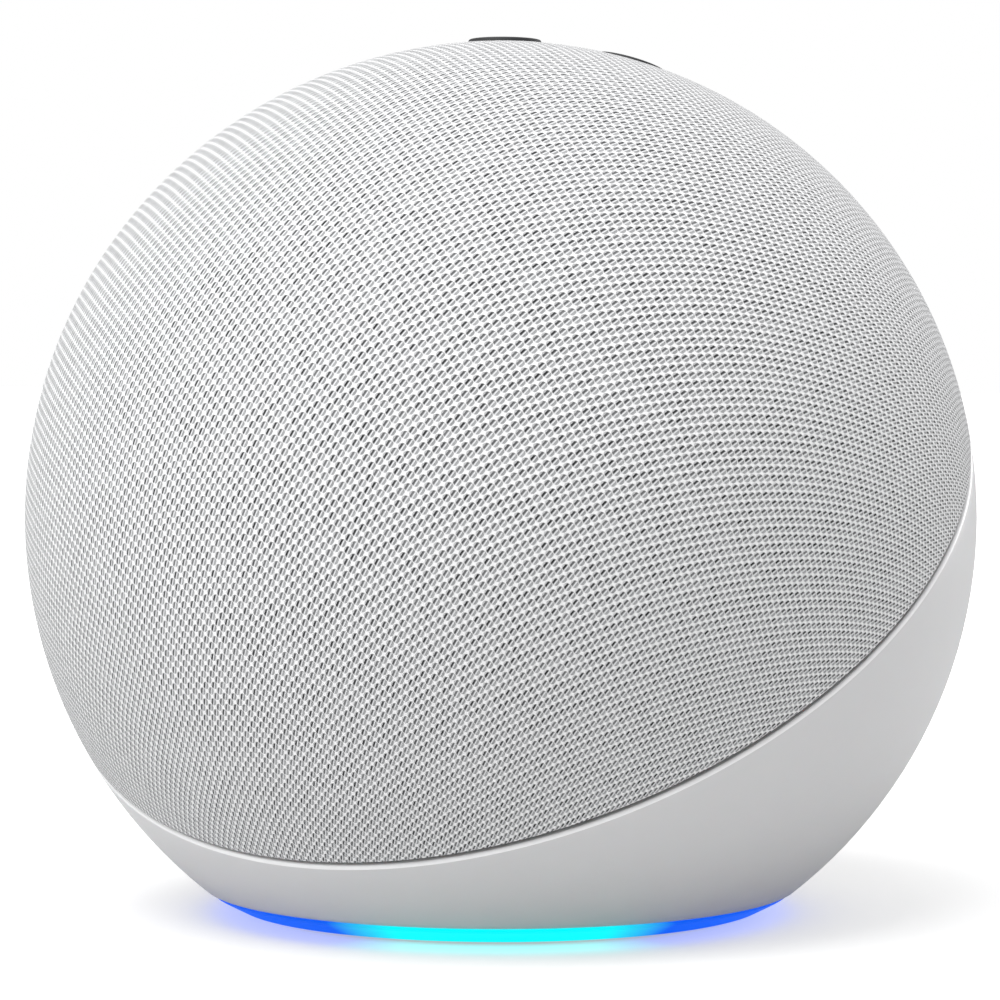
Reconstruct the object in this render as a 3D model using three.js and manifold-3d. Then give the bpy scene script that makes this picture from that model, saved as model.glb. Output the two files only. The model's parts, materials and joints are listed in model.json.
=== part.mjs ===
// A table-top smart speaker: a fabric-covered ball that sits in a tilted plastic bowl.
// Millimetres, +Z up, front towards -Y. The origin is on the table, under the ball's centre.

import * as THREE from 'three';
import { mergeVertices } from 'three/addons/utils/BufferGeometryUtils.js';
import Module from 'manifold-3d';

const wasm = await Module();
wasm.setup();

const radians = THREE.MathUtils.degToRad;

// ---- Driving dimensions ------------------------------------------------------------------

const FIT_GAP = 0.3; // between pieces that touch
const SLIDE_GAP = 0.5; // between a moving piece and what guides it
const SINK = 1; // how far shapes that are joined, or cut, run past each other

// The ball and its tilted seam
const BALL_RADIUS = 72;
const BASE_TRIM = 12; // height of the ball that the flat base cuts away
const SEAM_TILT = radians(35.57); // the seam leans down towards the front
const SEAM_DROP = 6.13; // from the ball's centre down to the seam, along its axis
const SEAM_GAP = 0.4;
const SEAM_CHAMFER = 0.6;
const FABRIC_THICKNESS = 0.9;
const GRILLE_WALL = 2.1;
const HOUSING_WALL = 2.6;
const BOWL_BRIM = radians(48); // the bowl's blank reaches this far above the middle
const SHELL_SEGMENTS = 28; // facets round the large turned pieces
const SHELL_ROWS = 7;
const PART_SEGMENTS = 20; // facets round the smaller turned pieces
const SMALL_SEGMENTS = 12;

// Base: light ring, base plate, foot and stand insert
const LIGHT_BOTTOM = 1.1;
const LIGHT_TOP = 3.35; // height of the ring's outer edge
const LIGHT_BODY_TOP = 7.6;
const LIGHT_FLARE = 4.4; // the visible band slopes in by this much
const LIGHT_BODY_WIDTH = 5.5;
const COLLAR_WALL = 2.2;
const COLLAR_LEDGE = 2.9; // width of the housing's bottom edge
const MOAT_FLOOR = 8;
const FLOOR_UNDERSIDE = 10.2;
const FLOOR_THICKNESS = 2;
const FLOOR_BORE = 22;
const PLATE_BOTTOM = 1.2;
const PLATE_TOP = 5.4;
const FOOT_THICKNESS = 2;
const FOOT_WIDTH = 13;
const FOOT_INSET = 2.7;
const INSERT_HOLE = 3; // stand thread, modelled as a plain hole
const INSERT_WALL = 2;
const INSERT_DEPTH = 6.2;
const INSERT_TOP = 8.9;
const LIGHT_BOARD_BOTTOM = 8.7;
const LIGHT_BOARD_THICKNESS = 1.1;
const LIGHT_BOARD_WIDTH = 10.3;
const LED_COUNT = 12;
const LED_SIZE = [2.8, 3.5, 0.7];

// Screws: shank radius, head radius and head height
const SCREW_SHANK = 1.1;
const SCREW_HEAD = 2.3;
const SCREW_HEAD_HEIGHT = 1.2;
const BOSS_WALL = 1.7;
const RIB_WIDTH = 2.4;
const BASE_SCREW_LENGTH = 6;
const IO_SCREW_LENGTH = 6;
const FRAME_SCREW_LENGTH = 7.8;
const WOOFER_SCREW_LENGTH = 9;

// Rear connector recess
const PORT_HEIGHT = 24; // of the connectors' axes above the table
const PORT_WIDTH = 34;
const PORT_TALL = 12;
const PORT_DEPTH = 6.85; // from the ball's surface, at the connectors' height
const PORT_WALL = 2;
const PANEL_THICKNESS = 1.2;
const JACK_SPACING = 15;
const DC_NOSE = 4.6;
const DC_BORE = 3.1;
const DC_PIN = 1.05;
const AUX_NOSE = 3.2;
const AUX_BORE = 1.8;
const JACK_DEPTH = 12;
const JACK_BACK_WALL = 2.5;
const PIN_RECESS = 1.5;
const DC_BODY_WIDTH = 9.4;
const DC_BODY_RISE = 5; // above the jack's axis
const AUX_BODY_WIDTH = 7.6;
const AUX_BODY_RISE = 4;
const IO_BOARD_TOP = 18.7;
const BOARD_THICKNESS = 1.4;
const IO_BOARD_WIDTH = 34;
const IO_BOARD_LENGTH = 22;
const IO_BOARD_SETBACK = 3;
const IO_SCREW_INSET = [5, 3.5]; // from the board's side and front
const HEADER_SIZE = [12, 4.5, 4];

// Speaker frame and its bass chamber, along the seam's axis
const FLANGE_TOP = -6.5;
const FLANGE_THICKNESS = 2.5;
const BARREL_LAND = 0.5; // the barrel stands out by this much past the woofer's rim
const BARREL_WALL = 2.2;
const BARREL_TOP = 29;
const CHAMBER_FLOOR = -27;
const BARREL_LIP = 2.5; // thickness of the barrel's upper lip
const CUP_RIM_WIDTH = 2.5;
const CUP_RIM_THICKNESS = 2;
const FRAME_SCREW_CIRCLE = 58;
const FRAME_BOSS_HEIGHT = 6.7;
const WOOFER_BOSS_WALL = 1.2;
const WOOFER_BOSS_HEIGHT = 10;
const HOOK_WIDTH = 8;
const HOOK_WALL = 1.4;
const HOOK_ROOT = 6;
const HOOK_DROP = 1.2; // of the catch under the flange
const HOOK_CATCH = 1;
const HOOK_ANGLES = [40, 100, 160]; // degrees from the front, to both sides

// Woofer
const WOOFER_RIM = 41.5;
const WOOFER_RIM_WIDTH = 7.9;
const SURROUND_WIDTH = 5;
const SURROUND_THICKNESS = 0.8;
const SURROUND_LAND = 2.4; // glued flat on the rim
const WOOFER_RIM_THICKNESS = 1.7;
const WOOFER_WALL = 1.6;
const BASKET_NECK = 6.5; // width of the seat outside the yoke
const BASKET_SHOULDER = 2.3;
const BASKET_WINDOW = 14;
const WOOFER_TRAVEL = 4; // each way
const GASKET_THICKNESS = 0.7;
const CONE_LAND = 2;
const CONE_DEPTH = 13;
const CONE_THICKNESS = 0.8;
const COIL_FORMER = 9.9;
const COIL_THICKNESS = 0.7;
const COIL_CLEARANCE = 0.6;
const COIL_JOINT = 1.6; // the former's overlap with the cone
const WINDING_THICKNESS = 0.4;
const WINDING_HEIGHT = 6;
const CAP_OVERLAP = 2.4;
const CAP_RISE = 4.5;
const CAP_WALL = 0.6;
const SPIDER_WIDTH = 9.1;
const SPIDER_WAVES = 3;
const SPIDER_RISE = 0.9;
const SPIDER_THICKNESS = 0.5;
const YOKE_RADIUS = 14.5;
const YOKE_BOTTOM = -5;
const YOKE_TOP = 10;
const YOKE_FLOOR = 3.7;
const MAGNET_RADIUS = 8;
const MAGNET_HEIGHT = 5.4;
const POLE_THICKNESS = 4.7;

// Tweeters
const TWEETER_AZIMUTH = radians(38);
const TWEETER_ELEVATION = radians(-15);
const TWEETER_INSET = 8.7; // of the face's centre under the grille
const TWEETER_RADIUS = 12.5;
const TWEETER_DEPTH = 10.5;
const TWEETER_DOME = 9.6;
const TWEETER_RISE = 3;
const TWEETER_FACE = 2.6; // the recess that the dome sits in
const TWEETER_SLOT = 7; // depth of the coil's slot
const CLAMP_WIDTH = 5;
const CLAMP_WALL = 2.2;
const CLAMP_SETBACK = 3; // of the clamp behind the tweeter's face
const LEG_SIZE = [5, 10];
const LEG_PAD = [11, 14, 1.6];

// Main board, under the bass chamber
const MAIN_BOARD_RADIUS = 38;
const MAIN_BOARD_TOP = -31;
const MAIN_BOARD_FLAT = 33; // the board's front is cut off at this distance
const POST_SQUARE = 22;
const SHIELD_SIZE = 26;
const SHIELD_HEIGHT = 3.3;
const SHIELD_WALL = 0.5;
const CONNECTOR_HEIGHT = 2.6;
const CONNECTORS = [[-30, -6, -20, 6], [22, -6, 30, 2], [-12, 24, 2, 30], [-18, -29, -10, -23]];
const BOARD_POST_RADIUS = 2.2;
const PEG_RADIUS = 1;
const SPREADER_WIDTH = 36;
const SPREADER_THICKNESS = 2;
const FIN_COUNT = 6;
const FIN_HEIGHT = 4;
const FIN_WIDTH = 1.2;
const AERIAL_SIZE = [0.8, 22, 12];
const AERIAL_BOTTOM = 4;

// Button pad, on top
const PAD_TILT = radians(12.3); // the pad leans towards the rear
const BUTTON_CIRCLE = 14.2;
const BUTTON_RADIUS = 5.5;
const BUTTON_PROUD = 1;
const BUTTON_TRAVEL = 0.5;
const BUTTON_LIP = 1.1;
const BUTTON_LIP_HEIGHT = 1.2;
const STEM_RADIUS = 1.3;
const PLUNGER_RADIUS = 1.7;
const PLUNGER_RISE = 0.8;
const SWITCH_SIZE = 6;
const SWITCH_HEIGHT = 2.5;
const PAD_BOARD_RADIUS = 23.5;
const PAD_BOARD_DEPTH = 9.1; // under the grille, over the buttons' circle
const CARRIER_WALL = 1.6;
const CARRIER_PLATE = 1.3;
const PAD_POST_CIRCLE = 29.5;
const PAD_POST_RADIUS = 1.6;
const PAD_POST_OVERRUN = 1.5;
const EAR_WALL = 2;
const CARRIER_SKIRT = 0.6; // of the carrier's rim below the board
const CABLE_WIDTH = 8;
const CABLE_THICKNESS = 0.6;
const CABLE_OFFSET = 16; // of the pad's flat cable, to the side

// Sound slots in the grille
const WOOFER_SLOTS = 8;
const WOOFER_SLOT = [8, 26, 3]; // inner end, outer end and width
const TWEETER_SLOT_PITCH = 5;
const TWEETER_SLOT_WIDTH = 2.4;

// ---- Derived sizes -----------------------------------------------------------------------

const centreHeight = BALL_RADIUS - BASE_TRIM;
const grilleOuter = BALL_RADIUS - FABRIC_THICKNESS - FIT_GAP;
const grilleInner = grilleOuter - GRILLE_WALL;
const housingInner = BALL_RADIUS - HOUSING_WALL;
const seamUpper = -SEAM_DROP + SEAM_GAP / 2;
const seamLower = -SEAM_DROP - SEAM_GAP / 2;
const chord = (radius, height) => Math.sqrt(radius ** 2 - height ** 2);
const bowlRadius = (radius, z) => chord(radius, centreHeight - z);
const outside = BALL_RADIUS + 5; // past everything

const bowlRow = (Math.asin((centreHeight - MOAT_FLOOR) / housingInner) + BOWL_BRIM) / (SHELL_ROWS - 1);
const facetSag = (radius, step) => radius * (1 - Math.cos(step / 2));
const shellStep = (2 * Math.PI) / SHELL_SEGMENTS;
const wallClearance = FIT_GAP + facetSag(housingInner, shellStep)
  + facetSag(housingInner, bowlRow);
const domeRow = (Math.PI / 2 - Math.asin(seamUpper / grilleInner)) / SHELL_ROWS;
const floorMiddle = FLOOR_UNDERSIDE + FLOOR_THICKNESS / 2;
const housingFoot = LIGHT_TOP + FIT_GAP;
const collarInner = bowlRadius(BALL_RADIUS, housingFoot) - COLLAR_LEDGE;
const lightBody = collarInner - FIT_GAP;
const lightInner = lightBody - LIGHT_BODY_WIDTH;
const plateRadius = lightInner - FIT_GAP;
const footOuter = plateRadius - FOOT_INSET;
const footInner = footOuter - FOOT_WIDTH;
const footMiddle = (footOuter + footInner) / 2;
const insertOuter = INSERT_HOLE + INSERT_WALL;
const screwHole = SCREW_SHANK + FIT_GAP;
const bossRadius = screwHole + BOSS_WALL;

const portFloor = bowlRadius(BALL_RADIUS, PORT_HEIGHT) - PORT_DEPTH;
const panelFront = portFloor + FIT_GAP + PANEL_THICKNESS;
const wallReach = (z, x) => chord(bowlRadius(housingInner, z), x) - wallClearance;
const jackRear = Math.min(
  portFloor - PORT_WALL - FIT_GAP,
  wallReach(IO_BOARD_TOP + FIT_GAP, (JACK_SPACING + DC_BODY_WIDTH) / 2),
);
const jackBack = jackRear - JACK_DEPTH;
const ioBoardBottom = IO_BOARD_TOP - BOARD_THICKNESS;
const ioBoardRear = Math.min(
  portFloor - PORT_WALL - IO_BOARD_SETBACK,
  wallReach(ioBoardBottom, IO_BOARD_WIDTH / 2),
);
const ioBoardFront = ioBoardRear - IO_BOARD_LENGTH;
const ioPostX = IO_BOARD_WIDTH / 2 - IO_SCREW_INSET[0];
const ioPostY = ioBoardFront + IO_SCREW_INSET[1];

const flangeBottom = FLANGE_TOP - FLANGE_THICKNESS;
const barrelRadius = WOOFER_RIM + BARREL_LAND;
const barrelInner = barrelRadius - BARREL_WALL;
const hookBottom = flangeBottom - HOOK_DROP;
const hookOuter = Math.min(chord(housingInner, hookBottom), grilleInner) - wallClearance;
const hookInner = hookOuter - HOOK_WALL;
const flangeRadius = hookInner - FIT_GAP;
const wooferOpening = WOOFER_RIM - WOOFER_RIM_WIDTH;
const wooferScrewCircle = WOOFER_RIM - SCREW_HEAD - 2 * FIT_GAP;
const coneRim = wooferOpening - SURROUND_WIDTH;
const rimBottom = BARREL_TOP + 2 * FIT_GAP + GASKET_THICKNESS;
const rimTop = rimBottom + WOOFER_RIM_THICKNESS;
const coneRimBottom = rimTop - CONE_THICKNESS;
const coneNeck = COIL_FORMER + FIT_GAP;
const coneNeckBottom = coneRimBottom - CONE_DEPTH;
const coneNeckTop = coneNeckBottom + CONE_THICKNESS * 1.3; // measured upright
const capRadius = coneNeck + CAP_OVERLAP;
const formerInner = COIL_FORMER - COIL_THICKNESS;
const coilOuter = COIL_FORMER + WINDING_THICKNESS;
const yokeInner = coilOuter + COIL_CLEARANCE;
const yokeFloor = YOKE_BOTTOM + YOKE_FLOOR;
const basketBottom = YOKE_TOP + FIT_GAP;
const spiderBottom = basketBottom + WOOFER_WALL + FIT_GAP;

const domeRim = TWEETER_DOME + 1.5; // the dome's glued edge

const padBoardTop = chord(grilleInner, BUTTON_CIRCLE) - PAD_BOARD_DEPTH;
const padBoardBottom = padBoardTop - BOARD_THICKNESS;
const switchTop = padBoardTop + FIT_GAP + SWITCH_HEIGHT;
const lipOuter = BUTTON_RADIUS + BUTTON_LIP;
const grilleSag = facetSag(grilleInner, domeRow) + facetSag(grilleInner, shellStep);
const lipTop = chord(grilleInner, BUTTON_CIRCLE + lipOuter) - grilleSag;
const lipBottom = lipTop - BUTTON_LIP_HEIGHT;
const carrierPlateTop = lipBottom - BUTTON_TRAVEL - FIT_GAP;
const carrierInner = PAD_BOARD_RADIUS + FIT_GAP;
const carrierOuter = carrierInner + CARRIER_WALL;

const mainBoardBottom = MAIN_BOARD_TOP - BOARD_THICKNESS;
const shieldBottom = mainBoardBottom - FIT_GAP - SHIELD_HEIGHT;
const spreaderTop = shieldBottom - FIT_GAP;

// ---- Frames ------------------------------------------------------------------------------

/** A group at the ball's centre, turned about X. */
function ballFrame(turn) {
  const frame = new THREE.Group();
  frame.position.z = centreHeight;
  frame.rotation.x = turn;
  frame.updateMatrix();
  return frame;
}

/** A tweeter's frame: its centre of face, with local Z along its level axis and local Y up. */
function tweeterFrame(side) {
  const frame = new THREE.Group();
  const azimuth = side * TWEETER_AZIMUTH;
  const reach = grilleInner - TWEETER_INSET;
  const level = reach * Math.cos(TWEETER_ELEVATION);
  frame.position.set(
    level * Math.sin(azimuth),
    -level * Math.cos(azimuth),
    centreHeight + reach * Math.sin(TWEETER_ELEVATION),
  );
  frame.rotation.set(Math.PI / 2, 0, azimuth, 'ZYX');
  frame.updateMatrix();
  return frame;
}

const world = new THREE.Group();
const seamFrame = ballFrame(SEAM_TILT);
const padFrame = ballFrame(-PAD_TILT);
const tweeterFrames = { left: tweeterFrame(-1), right: tweeterFrame(1) };

/** The matrix that takes a shape drawn in one frame to another. */
function between(from, to) {
  return to.matrix.clone().invert().multiply(from.matrix);
}

// ---- Shapes ------------------------------------------------------------------------------

/** Turns an open profile of [radius, height] pairs, which starts and ends on the axis. */
function lathe(profile, segments = SHELL_SEGMENTS) {
  const points = profile.map(([r, z]) => new THREE.Vector2(r, z));
  return new THREE.LatheGeometry(points, segments).rotateX(Math.PI / 2);
}

/** Turns a closed outline that stays off the axis, given anticlockwise. */
function ring(outline, segments = SHELL_SEGMENTS) {
  return lathe([...outline, outline[0]], segments);
}

/** Points of a circle about the axis' origin, between two elevations. */
function arc(radius, from, to, rows) {
  return Array.from({ length: rows + 1 }, (_, i) => {
    const angle = from + ((to - from) * i) / rows;
    return [radius * Math.cos(angle), radius * Math.sin(angle)];
  });
}

/** A round bar along Z. */
function rod(radius, low, high, segments = 8) {
  return new THREE.CylinderGeometry(radius, radius, high - low, segments)
    .rotateX(Math.PI / 2)
    .translate(0, 0, (low + high) / 2);
}

/** A box between two corners. */
function block([x0, y0, z0], [x1, y1, z1]) {
  return new THREE.BoxGeometry(x1 - x0, y1 - y0, z1 - z0)
    .translate((x0 + x1) / 2, (y0 + y1) / 2, (z0 + z1) / 2);
}

/** Copies of a shape, drawn on the X axis' side, turned to each angle about Z. */
function turnedTo(angles, shape) {
  return angles.map((angle) => shape.clone().rotateZ(angle));
}

/** Evenly spaced angles. */
function spread(count, first = 0) {
  return Array.from({ length: count }, (_, i) => first + (i * 2 * Math.PI) / count);
}

/** A pan-head screw along Z, with the underside of its head at seat and its shank below. */
function screw(seat, length) {
  return lathe([
    [0, seat - length],
    [SCREW_SHANK, seat - length],
    [SCREW_SHANK, seat],
    [SCREW_HEAD, seat],
    [SCREW_HEAD * 0.8, seat + SCREW_HEAD_HEIGHT],
    [0, seat + SCREW_HEAD_HEIGHT],
  ], 6);
}

/** A manifold solid with the same surface as a closed geometry. */
function solidOf(geometry) {
  const bare = new THREE.BufferGeometry();
  bare.setAttribute('position', geometry.getAttribute('position'));
  bare.setIndex(geometry.index);
  const merged = mergeVertices(bare);
  return new wasm.Manifold(new wasm.Mesh({
    numProp: 3,
    vertProperties: merged.getAttribute('position').array,
    triVerts: new Uint32Array(merged.index.array),
  }));
}

/** The geometry of a manifold solid. */
function geometryOf(solid) {
  const mesh = solid.getMesh();
  const geometry = new THREE.BufferGeometry();
  geometry.setAttribute('position', new THREE.BufferAttribute(mesh.vertProperties, 3));
  geometry.setIndex(new THREE.BufferAttribute(mesh.triVerts, 1));
  return geometry;
}

/** A shape with others joined to it, and then others cut away. */
function shaped(base, { add = [], cut = [] }) {
  const whole = add.reduce((solid, piece) => solid.add(solidOf(piece)), solidOf(base));
  return geometryOf(cut.reduce((solid, tool) => solid.subtract(solidOf(tool)), whole));
}

/** What two shapes share. */
function common(first, second) {
  return geometryOf(solidOf(first).intersect(solidOf(second)));
}

// ---- Outer shells ------------------------------------------------------------------------

/** The part of a hollow ball above the seam, in the seam's frame. */
function domeShell(outer, inner) {
  const top = Math.PI / 2;
  return lathe([
    ...arc(inner, top, Math.asin(seamUpper / inner), SHELL_ROWS),
    ...arc(outer, Math.asin(seamUpper / outer), top, SHELL_ROWS),
  ]);
}

/** The four holes that the buttons pass through, in the seam's frame. */
function buttonHoles() {
  const hole = rod(BUTTON_RADIUS + FIT_GAP, lipBottom, outside, 16)
    .translate(BUTTON_CIRCLE, 0, 0);
  return turnedTo(spread(4), hole)
    .map((tool) => tool.applyMatrix4(between(padFrame, seamFrame)));
}

function fabricSkin() {
  return shaped(domeShell(BALL_RADIUS, BALL_RADIUS - FABRIC_THICKNESS), { cut: buttonHoles() });
}

/** Snap hooks that hang from the grille's edge and catch under the speaker frame. */
function grilleHooks() {
  const half = HOOK_WIDTH / 2;
  const rootTop = seamUpper + HOOK_ROOT;
  const hook = shaped(
    block([hookInner, -half, hookBottom], [hookOuter, half, rootTop]),
    {
      add: [
        block([hookInner, -half, seamUpper], [grilleInner + GRILLE_WALL / 2, half, rootTop]),
        block(
          [hookInner - HOOK_CATCH, -half, hookBottom],
          [hookOuter - HOOK_WALL / 2, half, flangeBottom - FIT_GAP],
        ),
      ],
    },
  );
  const front = -Math.PI / 2;
  const sides = HOOK_ANGLES.flatMap((angle) => [radians(angle), radians(-angle)]);
  return turnedTo(sides.map((angle) => front + angle), hook);
}

const padPostAngles = spread(3, Math.PI / 2);

/** Posts under the grille that carry the button pad, in the seam's frame. */
function padPosts() {
  const top = chord(grilleInner, PAD_POST_CIRCLE - PAD_POST_RADIUS) + GRILLE_WALL / 8;
  const post = rod(PAD_POST_RADIUS, padBoardBottom - PAD_POST_OVERRUN, top, 10)
    .translate(PAD_POST_CIRCLE, 0, 0);
  return turnedTo(padPostAngles, post)
    .map((tool) => tool.applyMatrix4(between(padFrame, seamFrame)));
}

/** Sound slots over the woofer and over each tweeter, in the seam's frame. */
function soundSlots() {
  const [inner, outer, width] = WOOFER_SLOT;
  const low = chord(grilleInner, outer) - SINK;
  const slot = block([inner, -width / 2, low], [outer, width / 2, outside]);
  const overWoofer = turnedTo(spread(WOOFER_SLOTS), slot);
  const half = TWEETER_SLOT_WIDTH / 2;
  const overTweeter = [-TWEETER_SLOT_PITCH, 0, TWEETER_SLOT_PITCH].map((y) =>
    block([-TWEETER_DOME, y - half, TWEETER_FACE], [TWEETER_DOME, y + half, TWEETER_INSET * 3]));
  const placed = Object.values(tweeterFrames).flatMap((frame) =>
    overTweeter.map((tool) => tool.clone().applyMatrix4(between(frame, seamFrame))));
  return [...overWoofer, ...placed];
}

function grilleShell() {
  return shaped(domeShell(grilleOuter, grilleInner), {
    add: [...grilleHooks(), ...padPosts()],
    cut: [...buttonHoles(), ...soundSlots()],
  });
}

/** The bowl before it is cut: wall, bottom edge, collar round the light ring, and floor. */
function bowlBlank() {
  const level = (z, radius) => Math.asin((z - centreHeight) / radius);
  const lift = ([r, z]) => [r, z + centreHeight];
  const outer = arc(BALL_RADIUS, level(housingFoot, BALL_RADIUS), BOWL_BRIM, SHELL_ROWS).map(lift);
  const inner = arc(housingInner, BOWL_BRIM, level(MOAT_FLOOR, housingInner), SHELL_ROWS - 1).map(lift);
  const collarOuter = collarInner + COLLAR_WALL;
  const floorTop = FLOOR_UNDERSIDE + FLOOR_THICKNESS;
  return ring([
    [collarInner, housingFoot],
    ...outer,
    ...inner,
    [collarOuter, MOAT_FLOOR],
    [collarOuter, floorTop],
    [FLOOR_BORE, floorTop],
    [FLOOR_BORE, FLOOR_UNDERSIDE],
    [collarInner, FLOOR_UNDERSIDE],
  ]);
}

/** All that lies above the tilted seam, with a chamfer for the bowl's edge. */
function aboveSeam() {
  const edge = chord(BALL_RADIUS, seamLower);
  const far = BALL_RADIUS * 1.4;
  const fall = 3;
  return lathe([
    [0, seamLower],
    [edge - SEAM_CHAMFER, seamLower],
    [edge - SEAM_CHAMFER + fall, seamLower - fall],
    [far, seamLower - fall],
    [far, far],
    [0, far],
  ]).applyMatrix4(seamFrame.matrix);
}

const frameScrewAngles = spread(4, Math.PI / 2);

/** What the bowl's bosses may fill: within its wall, and above its floor's underside. */
function bossSpace() {
  const ball = new THREE.SphereGeometry(BALL_RADIUS - HOUSING_WALL / 3, 16, 10)
    .translate(0, 0, centreHeight);
  const below = block([-outside, -outside, -outside], [outside, outside, floorMiddle]);
  return shaped(ball, { cut: [below] });
}

/** Bosses for the speaker frame's screws, tied to the bowl's wall by ribs. */
function frameBosses() {
  const top = flangeBottom - FIT_GAP;
  const bottom = top - FRAME_BOSS_HEIGHT;
  const half = RIB_WIDTH / 2;
  const boss = shaped(rod(bossRadius, bottom, top).translate(FRAME_SCREW_CIRCLE, 0, 0), {
    add: [block([FRAME_SCREW_CIRCLE, -half, bottom], [chord(BALL_RADIUS, top), half, top])],
  });
  return turnedTo(frameScrewAngles, boss)
    .map((piece) => common(piece.applyMatrix4(seamFrame.matrix), bossSpace()));
}

function frameScrewHoles(low, high) {
  return turnedTo(frameScrewAngles, rod(screwHole, low, high).translate(FRAME_SCREW_CIRCLE, 0, 0));
}

/** A slab with round ends, upright in X and Z, between two depths along Y. */
function pill(width, tall, front, rear) {
  const radius = tall / 2;
  const straight = width / 2 - radius;
  const outline = new THREE.Shape();
  outline.absarc(straight, 0, radius, -Math.PI / 2, Math.PI / 2, false);
  outline.absarc(-straight, 0, radius, Math.PI / 2, Math.PI * 1.5, false);
  const options = { depth: rear - front, bevelEnabled: false, curveSegments: 8 };
  return new THREE.ExtrudeGeometry(outline, options)
    .rotateX(Math.PI / 2)
    .translate(0, rear, PORT_HEIGHT);
}

const jackX = { dc: JACK_SPACING / 2, aux: -JACK_SPACING / 2 };

/** A round bar along Y at a connector's axis. */
function alongJack(x, radius, front, rear, segments = 16) {
  return rod(radius, -rear, -front, segments).rotateX(Math.PI / 2).translate(x, 0, PORT_HEIGHT);
}

/** Openings for the connectors' noses. */
function noseHoles(front, rear) {
  return [
    alongJack(jackX.dc, DC_NOSE + FIT_GAP, front, rear),
    alongJack(jackX.aux, AUX_NOSE + FIT_GAP, front, rear),
  ];
}

/** The solid round the connector recess, kept inside the ball. */
function portBlock() {
  const front = portFloor - PORT_WALL;
  const blank = pill(
    PORT_WIDTH + 2 * PORT_WALL,
    PORT_TALL + 2 * PORT_WALL,
    front,
    BALL_RADIUS,
  );
  return common(blank, bossSpace());
}

function rearHousing() {
  const basePost = rod(bossRadius, PLATE_TOP + FIT_GAP, floorMiddle)
    .translate(footMiddle, 0, 0);
  const basePosts = turnedTo(baseScrewAngles, basePost);
  const baseHoles = turnedTo(
    baseScrewAngles,
    rod(screwHole, 0, floorMiddle).translate(footMiddle, 0, 0),
  );
  const ioPosts = [-ioPostX, ioPostX].map((x) =>
    rod(bossRadius, floorMiddle, ioBoardBottom - FIT_GAP).translate(x, ioPostY, 0));
  const ioHoles = [-ioPostX, ioPostX].map((x) =>
    rod(screwHole, FLOOR_UNDERSIDE + FLOOR_THICKNESS, ioBoardBottom).translate(x, ioPostY, 0));
  const frameHoles = frameScrewHoles(FLANGE_TOP - FRAME_SCREW_LENGTH - SINK, FLANGE_TOP)
    .map((tool) => tool.applyMatrix4(seamFrame.matrix));
  return shaped(bowlBlank(), {
    add: [...frameBosses(), portBlock(), ...basePosts, ...ioPosts],
    cut: [
      aboveSeam(),
      pill(PORT_WIDTH, PORT_TALL, portFloor, outside),
      ...noseHoles(jackBack, portFloor + SINK),
      ...baseHoles,
      ...ioHoles,
      ...frameHoles,
    ],
  });
}

// ---- Base --------------------------------------------------------------------------------

const baseScrewAngles = spread(4, Math.PI / 4);

function lightRing() {
  const lip = bowlRadius(BALL_RADIUS, housingFoot) - FIT_GAP;
  return ring([
    [lightInner, LIGHT_BOTTOM],
    [lip - LIGHT_FLARE, LIGHT_BOTTOM],
    [lip, LIGHT_TOP],
    [lightBody, LIGHT_TOP],
    [lightBody, LIGHT_BODY_TOP],
    [lightInner, LIGHT_BODY_TOP],
  ]);
}

function basePlate() {
  const seat = FOOT_THICKNESS + FIT_GAP;
  const bore = insertOuter + FIT_GAP;
  const plate = ring([
    [bore, PLATE_BOTTOM],
    [footInner - FIT_GAP, PLATE_BOTTOM],
    [footInner - FIT_GAP, seat],
    [footOuter + FIT_GAP, seat],
    [footOuter + FIT_GAP, PLATE_BOTTOM],
    [plateRadius, PLATE_BOTTOM],
    [plateRadius, PLATE_TOP],
    [bore + COLLAR_WALL, PLATE_TOP],
    [bore + COLLAR_WALL, INSERT_TOP],
    [bore, INSERT_TOP],
  ]);
  const hole = rod(screwHole, 0, PLATE_TOP + SINK).translate(footMiddle, 0, 0);
  const counterbore = rod(SCREW_HEAD + FIT_GAP, 0, seat + SCREW_HEAD_HEIGHT + FIT_GAP)
    .translate(footMiddle, 0, 0);
  return shaped(plate, {
    cut: [...turnedTo(baseScrewAngles, hole), ...turnedTo(baseScrewAngles, counterbore)],
  });
}

function rubberFoot() {
  return ring([
    [footInner, 0],
    [footOuter, 0],
    [footOuter, FOOT_THICKNESS],
    [footInner, FOOT_THICKNESS],
  ]);
}

function standInsert() {
  return lathe([
    [0, PLATE_BOTTOM + INSERT_DEPTH],
    [INSERT_HOLE, PLATE_BOTTOM + INSERT_DEPTH],
    [INSERT_HOLE, PLATE_BOTTOM],
    [insertOuter, PLATE_BOTTOM],
    [insertOuter, INSERT_TOP],
    [0, INSERT_TOP],
  ], SMALL_SEGMENTS);
}

/** A base screw, which points up from the plate. */
function baseScrew() {
  const seat = FOOT_THICKNESS + 2 * FIT_GAP + SCREW_HEAD_HEIGHT;
  return screw(-seat, BASE_SCREW_LENGTH).rotateX(Math.PI);
}

/** The light board: a flat ring with its LEDs facing down into the light ring. */
function lightBoard() {
  const outer = collarInner - 2 * FIT_GAP;
  const inner = outer - LIGHT_BOARD_WIDTH;
  const top = LIGHT_BOARD_BOTTOM + LIGHT_BOARD_THICKNESS;
  const board = ring([
    [inner, LIGHT_BOARD_BOTTOM],
    [outer, LIGHT_BOARD_BOTTOM],
    [outer, top],
    [inner, top],
  ]);
  const middle = (lightInner + lightBody) / 2;
  const [width, length, height] = LED_SIZE;
  const led = block(
    [middle - width / 2, -length / 2, LIGHT_BOARD_BOTTOM - height],
    [middle + width / 2, length / 2, LIGHT_BOARD_BOTTOM + LIGHT_BOARD_THICKNESS / 4],
  );
  return shaped(board, { add: turnedTo(spread(LED_COUNT), led) });
}

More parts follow.
